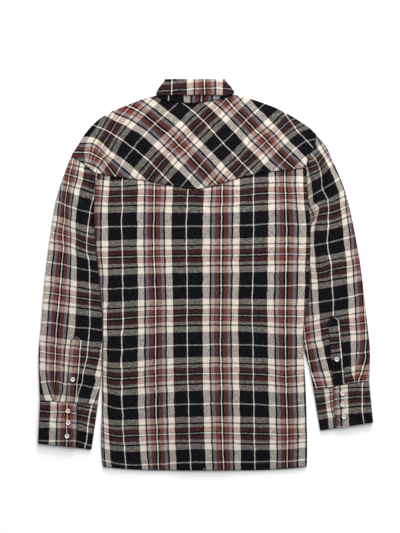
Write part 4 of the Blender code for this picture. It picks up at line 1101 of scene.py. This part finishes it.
# ---------------------------------------------------------------- The collar
# A stiffened stand sewn into the neck, and a pointed leaf that turns down over it at the fold. The
# collar is closed in front, so it lies as a flattened ring with its points under the fronts.
BAND = 0.0018
NEST = BAND + 2 * SEAM
STAND_LEVEL = 0.0073
COLLAR_LEVEL = 0.0013
SIDE_TURN = 0.06
COLLAR_HALVES = [(-1.0, 0.0947), (0.0, 0.0827), (0.3, 0.0827), (0.6, 0.0762), (0.91, 0.0652), (1.0, 0.0652)]
COLLAR_FOLD = 0.4151
COLLAR_EDGE = 0.380
STAND_CUT = (0.0085 + RUST_WARP, -0.3585)
LEAF_SHIFT = 0.0019
STAND_TOP = 0.91
POINT_RISE = -1.0
LEAST_RISE = 0.08
FOLD_PUFF = 0.0012
LEAF_LINE = [(-0.12, 0.3853), (-0.101, 0.3867), (-0.0689, 0.3888), (-0.0407, 0.3909), (-0.0017, 0.3930),
             (0.035, 0.3935), (0.0566, 0.3909), (0.08, 0.3875)]


def ring(turn, rise, nest):
    """A place on the collar's flattened ring, and where it was on the flat cloth.

    turn is -1 at the left front, 0 at the centre back and 1 at the right front; rise is 0 at the neck
    seam and 1 at the fold; nest is 0 in the stand and 1 in the leaf around it.
    """
    side = -1 if turn < 0 else 1
    low = COLLAR_LEVEL + (1 - nest) * NEST
    high = STAND_LEVEL + nest * NEST
    radius = (high - low) / 2
    inside = (1 - nest) * NEST * (1 + 0.35 * max(rise, 0.0))
    half = np.interp(rise, *np.array(COLLAR_HALVES).T)
    flat_half = half - BAND / 2 - inside - radius

    def back_y(x):
        neck = float(read(NECK_SEAM, x))
        fold = COLLAR_FOLD - 0.002 * abs((x - COLLAR_CENTRE) / COLLAR_HALVES[-1][1]) ** 6
        return mix(neck, fold, rise)

    part = abs(turn)
    corner = COLLAR_CENTRE + side * flat_half
    if part <= 0.5 - SIDE_TURN:
        x = COLLAR_CENTRE + side * flat_half * part / (0.5 - SIDE_TURN)
        return np.array([x, back_y(x), high]), np.array([x, back_y(x)])
    if part < 0.5 + SIDE_TURN:
        angle = math.pi * (part - 0.5 + SIDE_TURN) / (2 * SIDE_TURN)
        height = (high + low) / 2 + radius * math.cos(angle)
        place = np.array([corner + side * radius * math.sin(angle), back_y(corner), height])
        return place, np.array([corner + side * radius * angle, back_y(corner)])
    across = (1 - part) / (0.5 - SIDE_TURN)
    spread = 0.02 + 0.24 * (1 - rise) * nest
    x = COLLAR_CENTRE + side * flat_half * mix(spread, 1, across)
    neck_depth = float(read(NECK_SEAM, corner)) - NECK_FRONT
    y = back_y(corner) - neck_depth * (1 - across ** 2.5)
    gone = abs(corner - x)
    return np.array([x, y, low]), np.array([corner + side * (math.pi * radius + gone), back_y(corner)])


def collar_turns(flat_steps, side_steps):
    """Places around the ring, closer together at the two side folds."""
    right = np.concatenate([
        np.linspace(0, 0.5 - SIDE_TURN, flat_steps + 1)[:-1],
        np.linspace(0.5 - SIDE_TURN, 0.5 + SIDE_TURN, side_steps + 1),
        np.linspace(0.5 + SIDE_TURN, 1, flat_steps + 1)[1:],
    ])
    return [*-right[:0:-1], *right]


turns = collar_turns(34, 16)
stand_places = [[ring(turn, rise, 0.0) for turn in turns] for rise in np.linspace(0.0, STAND_TOP, 16)]
stand_middle = np.array([[place for place, flat in line] for line in stand_places])
stand_cut = np.array([[flat for place, flat in line] for line in stand_places]) + STAND_CUT
sewn("collar_stand", stand_middle, stand_cut, BAND, (0.38, 0.045))


def leaf_edge(turn):
    """How far up the ring the leaf's free edge lies."""
    part = abs(turn)
    at = ring(turn, 0.0, 1.0)[0]
    if part <= 0.5 + SIDE_TURN:
        return max((COLLAR_EDGE - at[1]) / (COLLAR_FOLD - at[1]), LEAST_RISE)
    return mix(LEAST_RISE, POINT_RISE, ((part - 0.5 - SIDE_TURN) / (0.5 - SIDE_TURN)) ** 1.2)


def leaf():
    lines, cuts = [], []
    fold_steps, fall_steps = 10, 22
    for row in range(fold_steps + fall_steps + 1):
        line, cut_line = [], []
        for turn in turns:
            if row >= fold_steps:
                share = (row - fold_steps) / fall_steps
                rise = mix(STAND_TOP, leaf_edge(turn), share)
                place, flat = ring(turn, rise, 1.0)
                line.append(place + (0, 0, 0.0004 * math.sin(5 * turn) * share))
                cut_line.append(flat)
                continue
            outer, flat = ring(turn, STAND_TOP, 1.0)
            inner = ring(turn, STAND_TOP, 0.0)[0]
            before = ring(max(turn - 0.02, -1), STAND_TOP, 0.5)[0]
            after = ring(min(turn + 0.02, 1), STAND_TOP, 0.5)[0]
            half = (outer - inner) / 2
            up = units(np.cross(half, after - before))
            up *= np.sign(up[1])
            angle = math.pi * (1 - row / fold_steps)
            reach = length(half)
            lift = FOLD_PUFF + reach * math.sin(angle)
            line.append((outer + inner) / 2 + up * lift + half * math.cos(angle))
            cut_line.append(flat - (0, reach * angle))
        lines.append(line)
        cuts.append(cut_line)
    lines, cuts = np.array(lines)[::-1], np.array(cuts)[::-1]
    line_y = read(LEAF_LINE, np.clip(cuts[..., 0], LEAF_LINE[0][0], LEAF_LINE[-1][0]))
    cut = np.stack([cuts[..., 0] + LEAF_SHIFT + RUST_WARP, cuts[..., 1] - line_y + RUST_WEFT], axis=-1)
    piece = sewn("collar_leaf", lines, cut, BAND, (0.33, 0.052))
    behind = [turn for turn in turns if abs(turn) < 0.46]
    topstitched(piece, [[ring(turn, mix(STAND_TOP, leaf_edge(turn), 0.9), 1.0)[0][:2] for turn in behind]])


leaf()

# ---------------------------------------------------------------- The sleeves
# Each sleeve is one tube of flannel, set into the armhole under the yoke's and the back's turned
# edges, and pleated into its cuff. It lies flat beside the body, soft and a little puffed.

# Down each sleeve: a place's number, the outer edge's x and y, the inner edge's y, and how far that
# edge lies from the body
SLEEVES = {
    -1: [(0, -0.2839, 0.2529, 0.2155, 0), (1, -0.2972, 0.218, 0.19, 0), (2, -0.3165, 0.158, 0.13, 0),
         (3, -0.3275, 0.092, 0.068, 0), (4, -0.3347, 0.041, 0.02, 0), (5, -0.3424, -0.031, -0.046, 0),
         (6, -0.3487, -0.11, -0.12, 0), (7, -0.3535, -0.167, -0.175, 0.0005),
         (8, -0.353, -0.218, -0.2235, 0.002), (9, -0.3509, -0.2686, -0.275, 0.0085)],
    1: [(0, 0.2352, 0.2955, 0.2264, 0), (0.5, 0.2552, 0.2715, 0.211, 0), (1, 0.2661, 0.2487, 0.195, 0),
        (2, 0.2936, 0.183, 0.145, 0), (3, 0.309, 0.125, 0.095, 0), (4, 0.323, 0.0515, 0.03, 0),
        (5, 0.3318, -0.008, -0.025, 0), (6, 0.3424, -0.101, -0.108, 0), (7, 0.3481, -0.154, -0.157, 0.001),
        (8, 0.3481, -0.19, -0.198, 0.01), (9, 0.3466, -0.2283, -0.2432, 0.016)],
}
# Where the stripes of each sleeve cross, in the same form as the yoke's
SLEEVE_CROSSINGS = {
    -1: [
        (38.8, 0, [-315.2, 154.3, -320.1, 124, -321.6, 110.2, -325.4, 88.6, -328.2, 67, -329, 52.2,
            -331.8, 26.1, -333.9, -3.6, -334.3, -15.7, -336, -39.2, -339, -60.2, -339.6, -75.7,
            -341.7, -101.5, -343.9, -130.2, -344.5, -142.9, -344.1, -164.7, -344.9, -187, -344.9, -202.9,
            -342.4, -227.9, -336.4, -255.5, -331.1, -268.6]),
        (69.5, 84.1, [-282.4, 231.1, -288.7, 210.5, -291.5, 188, -294, 174.5, -297.9, 147.3, -297.9, 118.7,
            -300, 104.5, -302.5, 82.5, -300.4, 61.5, -301.3, 47.3, -304.2, 20.8, -306.3, -7.8, -307.6, -21.2,
            -309.1, -43.2, -311.4, -64.4, -312.7, -79.5, -314.8, -104.9, -316.5, -134.6, -317.2, -146.7,
            -318.2, -168.5, -319.3, -189.7, -319.1, -205, -318.4, -226.8]),
        (86.9, [-401.3, -391.5], [-310.2, -255.9, -305.9, -245.3]),
        (100.3, 84.1, [-262.9, 226.8, -265.4, 203.5, -271.4, 182.3, -273.9, 168.1, -277.7, 139.5,
            -280.7, 111.5, -280.5, 96.5, -279.4, 76.5, -280.1, 55.1, -279.8, 40.9, -279.2, 14.4,
            -279.4, -12.7, -279.8, -26.5, -280.3, -48.1, -280.7, -69.7, -281.7, -84.2, -284.3, -110.7,
            -287.3, -138.2, -289.2, -150.5, -290.9, -172.4, -292.1, -194, -293, -207.1, -296, -232.6,
            -300, -256.9, -303.6, -271.4]),
        (139.1, 40.9, [-235.5, 170.7, -239.3, 157.5, -245.5, 131, -249.1, 102.4, -250.6, 86.9, -251.6, 65.7,
            -251.2, 43.9, -247.8, 31.2, -245.5, 8.3, -245.5, -18.4, -245.5, -33.3, -245.3, -53,
            -245.3, -74.2, -245.3, -89, -245.9, -114.9, -248.3, -142, -249.1, -154.5, -251.2, -176,
            -255.7, -197.6, -259.1, -211.4, -263.9, -234.3, -270.3, -261.2]),
        (177.9, -312.5, [-220.5, -180.6, -225.1, -203.9, -227.9, -216.7, -231.1, -240.6, -238.7, -265,
            -242.7, -279.8]),
    ],
    1: [
        (-69.5, [-375, -415.9], [219.4, -184.9, 227.9, -219.8]),
        (-45.4, [-30.5, -52.1, -68.5, -76.3, -87.9, -105],
            [223.7, 141.6, 228.3, 130, 232.8, 119.4, 226.4, 109.8, 223.7, 98.2, 222.2, 81.2]),
        (-38.8, -152.3, [226.6, 36.7, 226.8, 23.3, 229.4, 2.8, 230.7, -18.9, 231.5, -32.4, 232.8, -60.2,
            234.9, -85.6, 235.5, -99, 237, -118.7, 239.8, -141.4, 242.7, -154.1, 248.3, -178.5,
            255.5, -205.6, 258.6, -218.1, 263.9, -236.8]),
        (-32, [43, 30, 15, 0, -18, -43.5, -55, -69, -85.5, -105, -124, -152.3, -178],
            [220.5, 210.5, 223.7, 197.8, 225.8, 183, 227.3, 168.1, 229.4, 151.2, 238.5, 142.7, 238.9, 132.1,
             234.3, 119.4, 231.1, 102.4, 230, 83.3, 229.4, 62.1, 232.1, 36.7, 233.2, 9.1]),
        (0, [62.5, 0, -27.3, -40.9, -62.5, -84.1, -97.7, -125, -152.3, -165.9, -187.5, -209.1, -222.7, -250,
             -277.3, -290.9],
            [238.5, 233.8, 247.6, 179.8, 258.6, 159, 259.3, 151.2, 259.7, 128.5, 260.5, 106, 259.5, 94.3,
             258, 66.4, 261.4, 41.3, 264.6, 29.7, 266.9, 9.1, 267.3, -12.5, 268.2, -26.9, 270.3, -54.5,
             270.3, -79.1, 270.3, -90.1]),
        (38.8, 84.1, [244.9, 262.5, 252.3, 251.9, 259.7, 238.1, 265, 228.5, 278.8, 199.9, 287.3, 175.5,
            289.4, 161.8, 291.5, 139.5, 294.3, 118.3, 295.7, 104.5, 298.9, 77, 301.7, 49.8, 303.2, 36.7,
            305.5, 16.5, 305.9, -5.7, 306.3, -19.5, 308.5, -47.1, 309.5, -72.1, 309.9, -84.8, 311.2, -106.4,
            312.7, -127.2, 313.3, -141.4, 313.3, -168.1, 313.8, -194.4, 314.8, -206.7]),
        (52.2, [-40.9, -62.5, -84.1, -125, -165.9, -187.5, -209.1, -250, -290.9, -312.5, -334.1, -375],
            [297.9, 166, 300.6, 143.7, 303.4, 121.5, 309.7, 80.1, 312.7, 38.8, 316.3, 18.7, 317.4, -2.5,
             320.1, -44.9, 322.2, -83.1, 323.3, -104.7, 323.9, -126.6, 322.9, -167.5]),
        (69.5, [-290.9, -312.5, -334.1, -375, -402.3, -415.9, -435],
            [337.1, -80.3, 338.6, -102.8, 339.4, -124.4, 339, -165.4, 334.5, -191.9, 331.4, -205,
             324.8, -224.1]),
    ],
}
SLEEVE_CREASES = {
    -1: [
        (-300, 205, -245, 125, 9, 3.2, 6), (-262, 205, -236, 110, 8, 2.2, -4),
        (-318, 150, -262, 75, 10, 1.8, -6), (-245, 80, -300, 10, 10, 1.8, 6),
        (-330, 30, -270, -60, 10, 1.6, 8), (-240, -30, -320, -100, 9, 1.4, -6),
        (-340, -110, -290, -180, 10, 1.5, 6), (-318, -185, -314, -266, 5, 2.6, 0),
        (-338, -190, -336, -262, 6, 1.6, 2), (-250, -190, -246, -266, 7, 1.6, -2),
        (-298, -200, -296, -266, 5, 1.2, 1), (-268, 240, -232, 198, 5, -2, 2),
    ],
    1: [
        (238, 262, 262, 165, 9, 3.4, -4), (262, 170, 226, 120, 8, 2.6, 4), (250, 250, 292, 160, 9, 2.2, 4),
        (300, 130, 240, 60, 10, 1.8, 6), (235, 50, 300, -20, 10, 1.6, -6), (322, 10, 265, -75, 10, 1.5, 6),
        (232, -60, 310, -120, 9, 1.4, -6), (322, -150, 321, -224, 5, 2.6, 0),
        (335, -140, 336, -222, 6, 1.4, 2), (250, -160, 256, -236, 7, 1.6, 2),
        (300, -150, 304, -230, 6, 1.4, 1), (229, 245, 242, 90, 7, 3, 0), (241.5, 130, 244.5, -40, 7, 2.4, 0),
        (244, 0, 248, -150, 7, 2.2, 0),
    ],
}
# Each pleat by the cuff, from the cuff up: y, its x, and how wide a fold of cloth it takes in
PLEATS = {
    -1: [(-0.2750, -0.3193, 0.0270), (-0.2559, -0.3205, 0.0205), (-0.2453, -0.3201, 0.0131),
         (-0.2262, -0.3184, 0.0)],
    1: [(-0.2350, 0.3150, 0.0310), (-0.2241, 0.3155, 0.0269), (-0.2071, 0.3165, 0.0176),
        (-0.1965, 0.3169, 0.0110), (-0.1859, 0.3180, 0.0040), (-0.1753, 0.3191, 0.0)],
}
# How far the sleeve's upper layer sinks beside the body: y, depth
SLEEVE_SAGS = {
    -1: [(-0.30, 0.0), (-0.20, 0.0), (-0.13, 0.0014), (0.03, 0.0014), (0.10, 0.0022), (0.155, 0.0030),
         (0.205, 0.0028), (0.22, 0.0006), (0.30, 0.0)],
    1: [(-0.30, 0.0), (-0.20, 0.0), (-0.16, 0.0022), (-0.06, 0.0026), (-0.02, 0.0014), (0.06, 0.0016),
        (0.13, 0.0026), (0.205, 0.0028), (0.225, 0.0006), (0.30, 0.0)],
}
SLEEVE_PUFF = 0.0022
TUCK = 0.005                  # how far a sleeve's head goes under the yoke and the back
TUCK_DROP = 0.0014            # how much lower its upper layer lies there
TUCK_RISE = 0.0013            # and how much higher its lower layer
BESIDE_BODY = 0.0004
UNDER_BODY = 0.0027           # and how much lower beside the armhole, under the body's edge
PLEAT_STEP = 0.0016


def pleat_at(side, y):
    """The x of the pleat and the width that it hides, at a height on the sleeve."""
    places, x, width = np.array(PLEATS[side]).T
    return np.interp(y, places, x), np.interp(y, places, width)


def unpleated(side, x, y):
    line, width = pleat_at(side, y)
    return x + width * (x > line)


sleeve_fits = {
    side: fitted([(unpleated(side, x, y), y, u, v) for x, y, u, v in rows_of(SLEEVE_CROSSINGS[side])])
    for side in SIDES
}


def sleeve_plaid(side, x, y, low=-1.0, high=1.0):
    """Where a place on a sleeve was on the flat cloth; x goes on past the folds at low and high."""
    shown = np.clip(x, low, high)
    cut = sleeve_fits[side](unpleated(side, shown, y), y)
    cut[..., 0] += x - shown
    return cut


def sleeve(side):
    rows = 170
    down = np.concatenate([np.zeros(3), np.linspace(0, 1, rows)])
    under = np.concatenate([[1.0, 0.67, 0.33], np.zeros(rows)])
    sections = read(SLEEVES[side], down * SLEEVES[side][-1][0])
    outer = sections[:, :2].copy()
    inner_y = sections[:, 2]
    inner = np.stack([body_edge(side, inner_y) + side * (sections[:, 3] + BESIDE_BODY), inner_y], axis=-1)
    inner[:4] = armhole(side, 0, 0)
    outer[:4] = armhole(side, 1, 0)
    away = armhole(side, 0, 1.0) - armhole(side, 0, 0)
    inner -= away * (under * TUCK)[:, None]
    outer -= away * (under * TUCK)[:, None]
    across = units(outer - inner)
    from_head = length(outer - outer[3]) * (under == 0)
    tuck = 1 - smooth(from_head, 0.0, 0.014)
    to_cuff = smooth(down, 0.90, 1.0)
    closed = smooth(-inner[:, 1], -ARMPIT - 0.02, -ARMPIT + 0.01)
    low_level = FRONT_LEVEL + TUCK_RISE * tuck
    top_level = BACK_LEVEL - TUCK_DROP * tuck + TUCK_DROP * to_cuff
    radius = (top_level - low_level) / 2
    inset = closed * (radius + WALL / 2) - (1 - closed) * 0.004
    near_edge = inner + across * inset[:, None]
    far_edge = outer - across * (radius + WALL / 2 + TUCK_DROP * tuck)[:, None]

    top_share = np.linspace(0, 1, 84)
    quarter = np.linspace(0, 1, 8)[:-1]
    columns, flats = [], []

    def add(place, height, flat):
        columns.append(np.column_stack([place, height]))
        flats.append(flat)

    head = smooth(from_head, 0.06, 0.0)[:, None]
    sag = read(SLEEVE_SAGS[side], near_edge[:, 1])
    for share in quarter:
        along = math.pi / 2 * radius * (1 - share)
        place, drop = turned(near_edge, -across, along, closed, radius)
        tucked_under = UNDER_BODY * (1 - closed)
        place = place + bow(side, place) * head
        height = np.maximum(top_level - drop - tucked_under - sag * share, low_level + WALL * share)
        add(place, height, near_edge - across * along[:, None])
    for share in top_share:
        flat = mix(near_edge, far_edge, share)
        flat = flat + bow(side, flat) * head
        x, y = flat[:, 0], flat[:, 1]
        free = (1 - tuck) * smooth(down, 0.0, 0.08) * (1 - 0.55 * to_cuff)
        round_top = (4 * share * (1 - share)) ** 0.75
        puff = SLEEVE_PUFF * (0.8 + 0.2 * np.sin(9 * down + side)) * round_top
        width = length(far_edge - near_edge)
        tucked_under = UNDER_BODY * (1 - closed) * smooth(-share * width, -0.022, -0.006)
        edge_fade = smooth(share * width, 0.0, 0.009) * smooth((1 - share) * width, 0.0, 0.012)
        folds = creased(x, y, SLEEVE_CREASES[side]) * edge_fade
        pleat_x, pleat_width = pleat_at(side, y)
        beyond = (x - pleat_x) * side
        pleat_step = smooth(-beyond, -0.0006, 0.0006) * smooth(beyond, -0.022, 0.0)
        folds += pleat_step * PLEAT_STEP * smooth(pleat_width, 0.0, 0.018)
        sunk = sag * (1 - smooth(share * width, 0.0, 0.030))
        height = top_level + (puff + folds + swells(x * 1.6, y * 1.6)) * free - tucked_under - sunk
        add(flat, np.maximum(height, low_level + WALL), flat)
    for share in np.linspace(0, 1, 17)[1:-1]:
        along = math.pi * radius * share
        place, drop = turned(far_edge, across, along, 1.0, radius)
        add(place, top_level - drop, far_edge + across * along[:, None])
    below_edge = inner + across * (closed * (radius + WALL / 2))[:, None]
    for share in np.linspace(0, 1, 40):
        flat = mix(far_edge, below_edge, share)
        gone = math.pi * radius + length(flat - far_edge)
        flat = flat + bow(side, flat) * head
        add(flat, low_level, far_edge + across * gone[:, None])
    whole = math.pi * radius + length(below_edge - far_edge)
    for share in quarter[::-1] / quarter[-1]:
        along = math.pi / 2 * radius * (1 - share) * 0.98
        place, drop = turned(below_edge, -across, along, closed, radius)
        add(place, low_level + drop, far_edge + across * (whole + along)[:, None])
    middle = np.stack(columns, axis=1)
    flat = np.stack(flats, axis=1)
    shown = middle[:, len(quarter):len(quarter) + len(top_share), 0]
    low, high = shown.min(axis=1)[:, None], shown.max(axis=1)[:, None]
    cut = sleeve_plaid(side, flat[..., 0], middle[..., 1], low, high)
    if side > 0:
        middle, cut = middle[:, ::-1], cut[:, ::-1]
    return sewn("sleeve_" + SIDES[side], middle, cut, WALL, (0.26, 0.50), area=0.115)


sleeves = {half: sleeve(half) for half in SIDES}

# ---------------------------------------------------------------- The sleeve plackets
# A pointed strip of folded flannel over each sleeve's slit, topstitched all round, with one pearl
# button half way up.
Strip = namedtuple("Strip", "tip foot button")
STRIPS = {
    -1: Strip((-0.2732, -0.1308), (-0.2850, -0.2700), 0.66),
    1: Strip((0.2700, -0.0884), (0.2825, -0.2340), 0.63),
}
STRIP_HALF = 0.0112
STRIP_POINT = 0.010
STRIP_WALL = 0.0014
STRIP_STITCH = 0.0024         # how far its topstitching lies from its edge
LIFT = 0.0002                 # the gap to the sleeve under it
STRIP_SHIFT = 0.001
RIGHT_LEAN = 0.14             # how the right one's weft lines lean
RIGHT_LINE = (0.2745, -0.2077)   # and where the fine cream one crosses it


def sleeve_placket(side):
    tip, foot = np.array(STRIPS[side].tip), np.array(STRIPS[side].foot)
    along = units(tip - foot)
    across = np.array([along[1], -along[0]])
    whole = length(tip - foot)
    straight = whole - STRIP_POINT
    height = top_of(sleeves[side])
    distances = np.concatenate([np.linspace(0, straight, 60), np.linspace(straight, whole, 9)[1:]])
    shares = np.linspace(-1, 1, 17)
    middle = np.zeros((len(distances), len(shares), 3))
    for row, distance in enumerate(distances):
        narrow = min((whole - distance) / STRIP_POINT, 1.0)
        for column, share in enumerate(shares):
            place = foot + along * distance + across * STRIP_HALF * share * max(narrow, 0.03)
            middle[row, column, :2] = place
            middle[row, column, 2] = height(*place, 0.006)
    raised = middle[..., 2]
    for turn in range(6):
        raised[1:-1, 1:-1] = (raised[1:-1, 1:-1] * 2 + raised[:-2, 1:-1] + raised[2:, 1:-1]
                              + raised[1:-1, :-2] + raised[1:-1, 2:]) / 6
    middle[..., 2] = raised + STRIP_WALL / 2 + LIFT
    on_strip = np.broadcast_to(shares[None, :] * STRIP_HALF, raised.shape)
    if side < 0:
        u = RUST_WARP - (STRIP_HALF - on_strip) + STRIP_SHIFT
        v = sleeve_plaid(side, middle[..., 0], middle[..., 1])[..., 1]
    else:
        u = -(STRIP_HALF - on_strip) + STRIP_SHIFT
        v = middle[..., 1] - RIGHT_LEAN * (middle[..., 0] - RIGHT_LINE[0]) - RIGHT_LINE[1]
    cut = np.stack([u, v], axis=-1)
    name = "sleeve_placket_" + SIDES[side]
    piece = sewn(name, middle, cut, STRIP_WALL, (0.023, 0.148))
    beside = across * (STRIP_HALF - STRIP_STITCH)
    point = foot + along * straight
    topstitched(piece, [[foot - beside, point - beside, tip - along * 0.0035, point + beside, foot + beside]])
    return piece


strips = {half: sleeve_placket(half) for half in SIDES}

# ---------------------------------------------------------------- The cuffs
# Tall bands of folded flannel over stiffener. Each starts under its own lap, goes round below the
# sleeve's end, and comes back over its start, where three pearl buttons hold it.
Cuff = namedtuple("Cuff", "outer inner low_outer low_inner")
CUFFS = {
    -1: Cuff((-0.3509, -0.2686), (-0.2279, -0.2750), (-0.3551, -0.3576), (-0.2417, -0.3704)),
    1: Cuff((0.3466, -0.2283), (0.2285, -0.2432), (0.3551, -0.3131), (0.2427, -0.3301)),
}
CUFF_WALL = 0.0023
CUFF_FLOOR = 0.0013
CUFF_UNDER = 0.0044
CUFF_OVER = 0.0076
CUFF_LAP_FROM = 0.60
CUFF_LAP_TO = (0.365, 0.295)
CUFF_LAP_STITCH = 0.035       # shares of the cuff's width
CUFF_WAVE = 0.0006
CUFF_BULGE = 0.0005
CUFF_RIPPLE = 0.00025
# Where the stripes cross on each cuff's lap, and beside the lap, in the yoke's form; the weft lines
# are named by how far they lie from the rust line
LAP_CROSSINGS = {
    -1: [
        (38.8, [21.6, 0, -21.6, -35.2, -62.5],
            [-321.8, -269.7, -321.8, -291.1, -323.3, -312.1, -323.9, -325, -324.8, -353]),
        (69.5, [17, 0, -21.6, -35.2, -62.5],
            [-292.8, -275, -293, -292.6, -293, -313.5, -293.6, -325.8, -294.5, -352.8]),
        (86.9, [0, -21.6, -62.5], [-277.1, -294.5, -277.1, -314.8, -277.5, -352.3]),
    ],
    1: [
        (38.8, [21.6, 0, -21.6, -35.2], [294.3, -241.7, 295.1, -262, 295.7, -282.8, 296.2, -296.2]),
        (52.2, [0, -21.6], [280.1, -264.4, 281.5, -284.1]),
        (0, [21.6, 0, -21.6, -35.2, -60],
            [332.2, -239.8, 331.6, -259.5, 331.8, -279.8, 332.4, -294, 335, -317.4]),
    ],
}
INNER_CROSSINGS = {
    -1: [
        (17, [21.6, 0, -21.6, -35.2, -62.5],
            [-268.2, -279.6, -268.2, -298.7, -268.2, -315.9, -268.2, -330.7, -270.3, -354.5]),
        (0, [21.6, 0, -21.6, -35.2, -62.5],
            [-241.7, -284.1, -247, -302.1, -249.1, -322, -249.9, -335, -254.2, -359.8]),
    ],
    1: [
        (38.8, [21.6, 0, -21.6, -35.2], [257.6, -252.3, 259.7, -270.7, 262.9, -291.5, 264.6, -304.6]),
        (17, [21.6, 0, -21.6, -35.2], [238.5, -254.4, 240.6, -275.4, 243.8, -295.7, 245.9, -307.4]),
        (54, [0, -21.6], [268.2, -268.6, 271.4, -289.8]),
    ],
}


def cuff_edges(side, down):
    """The cuff's outer and inner edge, at shares of its depth."""
    size = Cuff(*np.array(CUFFS[side]))
    return mix(size.outer, size.low_outer, down), mix(size.inner, size.low_inner, down)


def spot(side, over, down):
    """A place on a cuff, at shares of its width and its depth."""
    outer, inner = cuff_edges(side, down)
    return mix(inner, outer, over)


def cuff(side):
    down = np.linspace(0, 1, 56)[:, None]
    outer, inner = cuff_edges(side, down)
    across = units(outer - inner)
    under_radius = (CUFF_UNDER - CUFF_FLOOR) / 2
    lap_radius = (CUFF_OVER - CUFF_FLOOR) / 2
    near_edge = inner + across * (under_radius + CUFF_WALL / 2)
    far_edge = outer - across * (lap_radius + CUFF_WALL / 2)
    one = np.ones(len(down))
    under_fold = math.pi * under_radius
    lap_fold = math.pi * lap_radius
    columns, rounds, laps, layers = [], [], [], []

    def add(place, height, round_near=0.0, round_far=0.0, layer=1.0):
        """A line down the cuff, and how far it has gone round the near fold and back from the far one."""
        columns.append(np.column_stack([place, height * one]))
        rounds.append(round_near * one)
        laps.append(round_far * one)
        layers.append(layer * one)

    for share in np.linspace(0, 1, 30):
        place = mix(mix(inner, outer, CUFF_LAP_FROM), near_edge, share)
        add(place, CUFF_UNDER, layer=0.0)
    for share in np.linspace(0, 1, 13)[1:]:
        along = under_fold * share
        place, drop = turned(near_edge, -across, along * one, 1.0, under_radius)
        add(place, CUFF_UNDER - drop, round_near=along, layer=0.0)
    for share in np.linspace(0, 1, 40)[1:]:
        place = mix(near_edge, far_edge, share)
        gone = length(place - near_edge)
        left = length(place - far_edge)
        add(place, CUFF_FLOOR, under_fold + gone, lap_fold + left, smooth(share, 0.2, 0.8))
    for share in np.linspace(0, 1, 17)[1:]:
        along = lap_fold * share
        place, drop = turned(far_edge, across, along * one, 1.0, lap_radius)
        add(place, CUFF_FLOOR + drop, round_far=lap_fold - along)
    lap_edge = mix(inner, outer, mix(*CUFF_LAP_TO, down)) + across * CUFF_WAVE * np.sin(7 * down + 1)
    for share in np.linspace(0, 1, 60)[1:]:
        place = mix(far_edge, lap_edge, share)
        bulge = CUFF_BULGE * (math.sin(math.pi * share) - smooth(share, 0.8, 1.0))
        add(place, CUFF_OVER + bulge + CUFF_RIPPLE * np.sin(9 * down[:, 0] + 6 * share))
    middle = np.stack(columns, axis=1)

    def run_on(crossings, edge, outward, beyond):
        """The flat cloth's places; past the fold at the edge they run on as far as the cloth does."""
        beyond = np.stack(beyond, axis=1)
        at = fitted(rows_of(crossings))
        x = np.where(beyond > 0, edge[:, :1], middle[..., 0])
        y = np.where(beyond > 0, edge[:, 1:], middle[..., 1])
        step = 0.004
        run = (at(x, y) - at(x - step * outward[:, :1], y - step * outward[:, 1:])) / step
        return at(x, y) + run * beyond[..., None] + (0, RUST_WEFT)

    under = run_on(INNER_CROSSINGS[side], near_edge, -across, rounds)
    over = run_on(LAP_CROSSINGS[side], far_edge, across, laps)
    cut = mix(under, over, np.stack(layers, axis=1)[..., None])
    ripple = CUFF_RIPPLE * np.sin(middle[..., 0] * 500) * np.exp(-length(outer - outer[0]) / 0.006)[:, None]
    middle[..., 2] += ripple * (middle[..., 2] > CUFF_OVER - 0.0015)
    if side < 0:
        middle, cut = middle[::-1], cut[::-1]
    piece = sewn("cuff_" + SIDES[side], middle, cut, CUFF_WALL, (0.30, 0.09))
    inset = mix(*CUFF_LAP_TO, np.linspace(0.05, 0.95, 12)) + CUFF_LAP_STITCH
    lap_row = [spot(side, over, below) for over, below in zip(inset, np.linspace(0.05, 0.95, 12))]
    edge_rows = [[spot(side, over, below) for over in np.linspace(0.04, 0.96, 12)] for below in (0.05, 0.95)]
    topstitched(piece, [lap_row] + edge_rows)
    return piece


cuffs = {half: cuff(half) for half in SIDES}

# ---------------------------------------------------------------- The cuff and placket buttons
# Three buttons of polished pearly resin down each cuff's lap, and one on each sleeve placket. Each
# has four holes, and is sewn on with a cross of thread.
CUFF_BUTTONS = [(0.503, 0.19), (0.477, 0.46), (0.473, 0.765)]   # shares across and down the cuff
BUTTON_GAP = 0.0001


def sewn_on(cloth, node, place, turn):
    """A button on that cloth's upper face."""
    x, y = place
    add_button(node, (x, y, top_of(cloth)(x, y) + BUTTON_GAP), turn)


for side, word in SIDES.items():
    for number, (across, down) in enumerate(CUFF_BUTTONS):
        sewn_on(cuffs[side], f"cuff_button_{word}_{number + 1}", spot(side, across, down), 0.5 + number)
    strip = STRIPS[side]
    place = mix(np.array(strip.tip), np.array(strip.foot), strip.button)
    sewn_on(strips[side], "placket_button_" + word, place, 0.3)
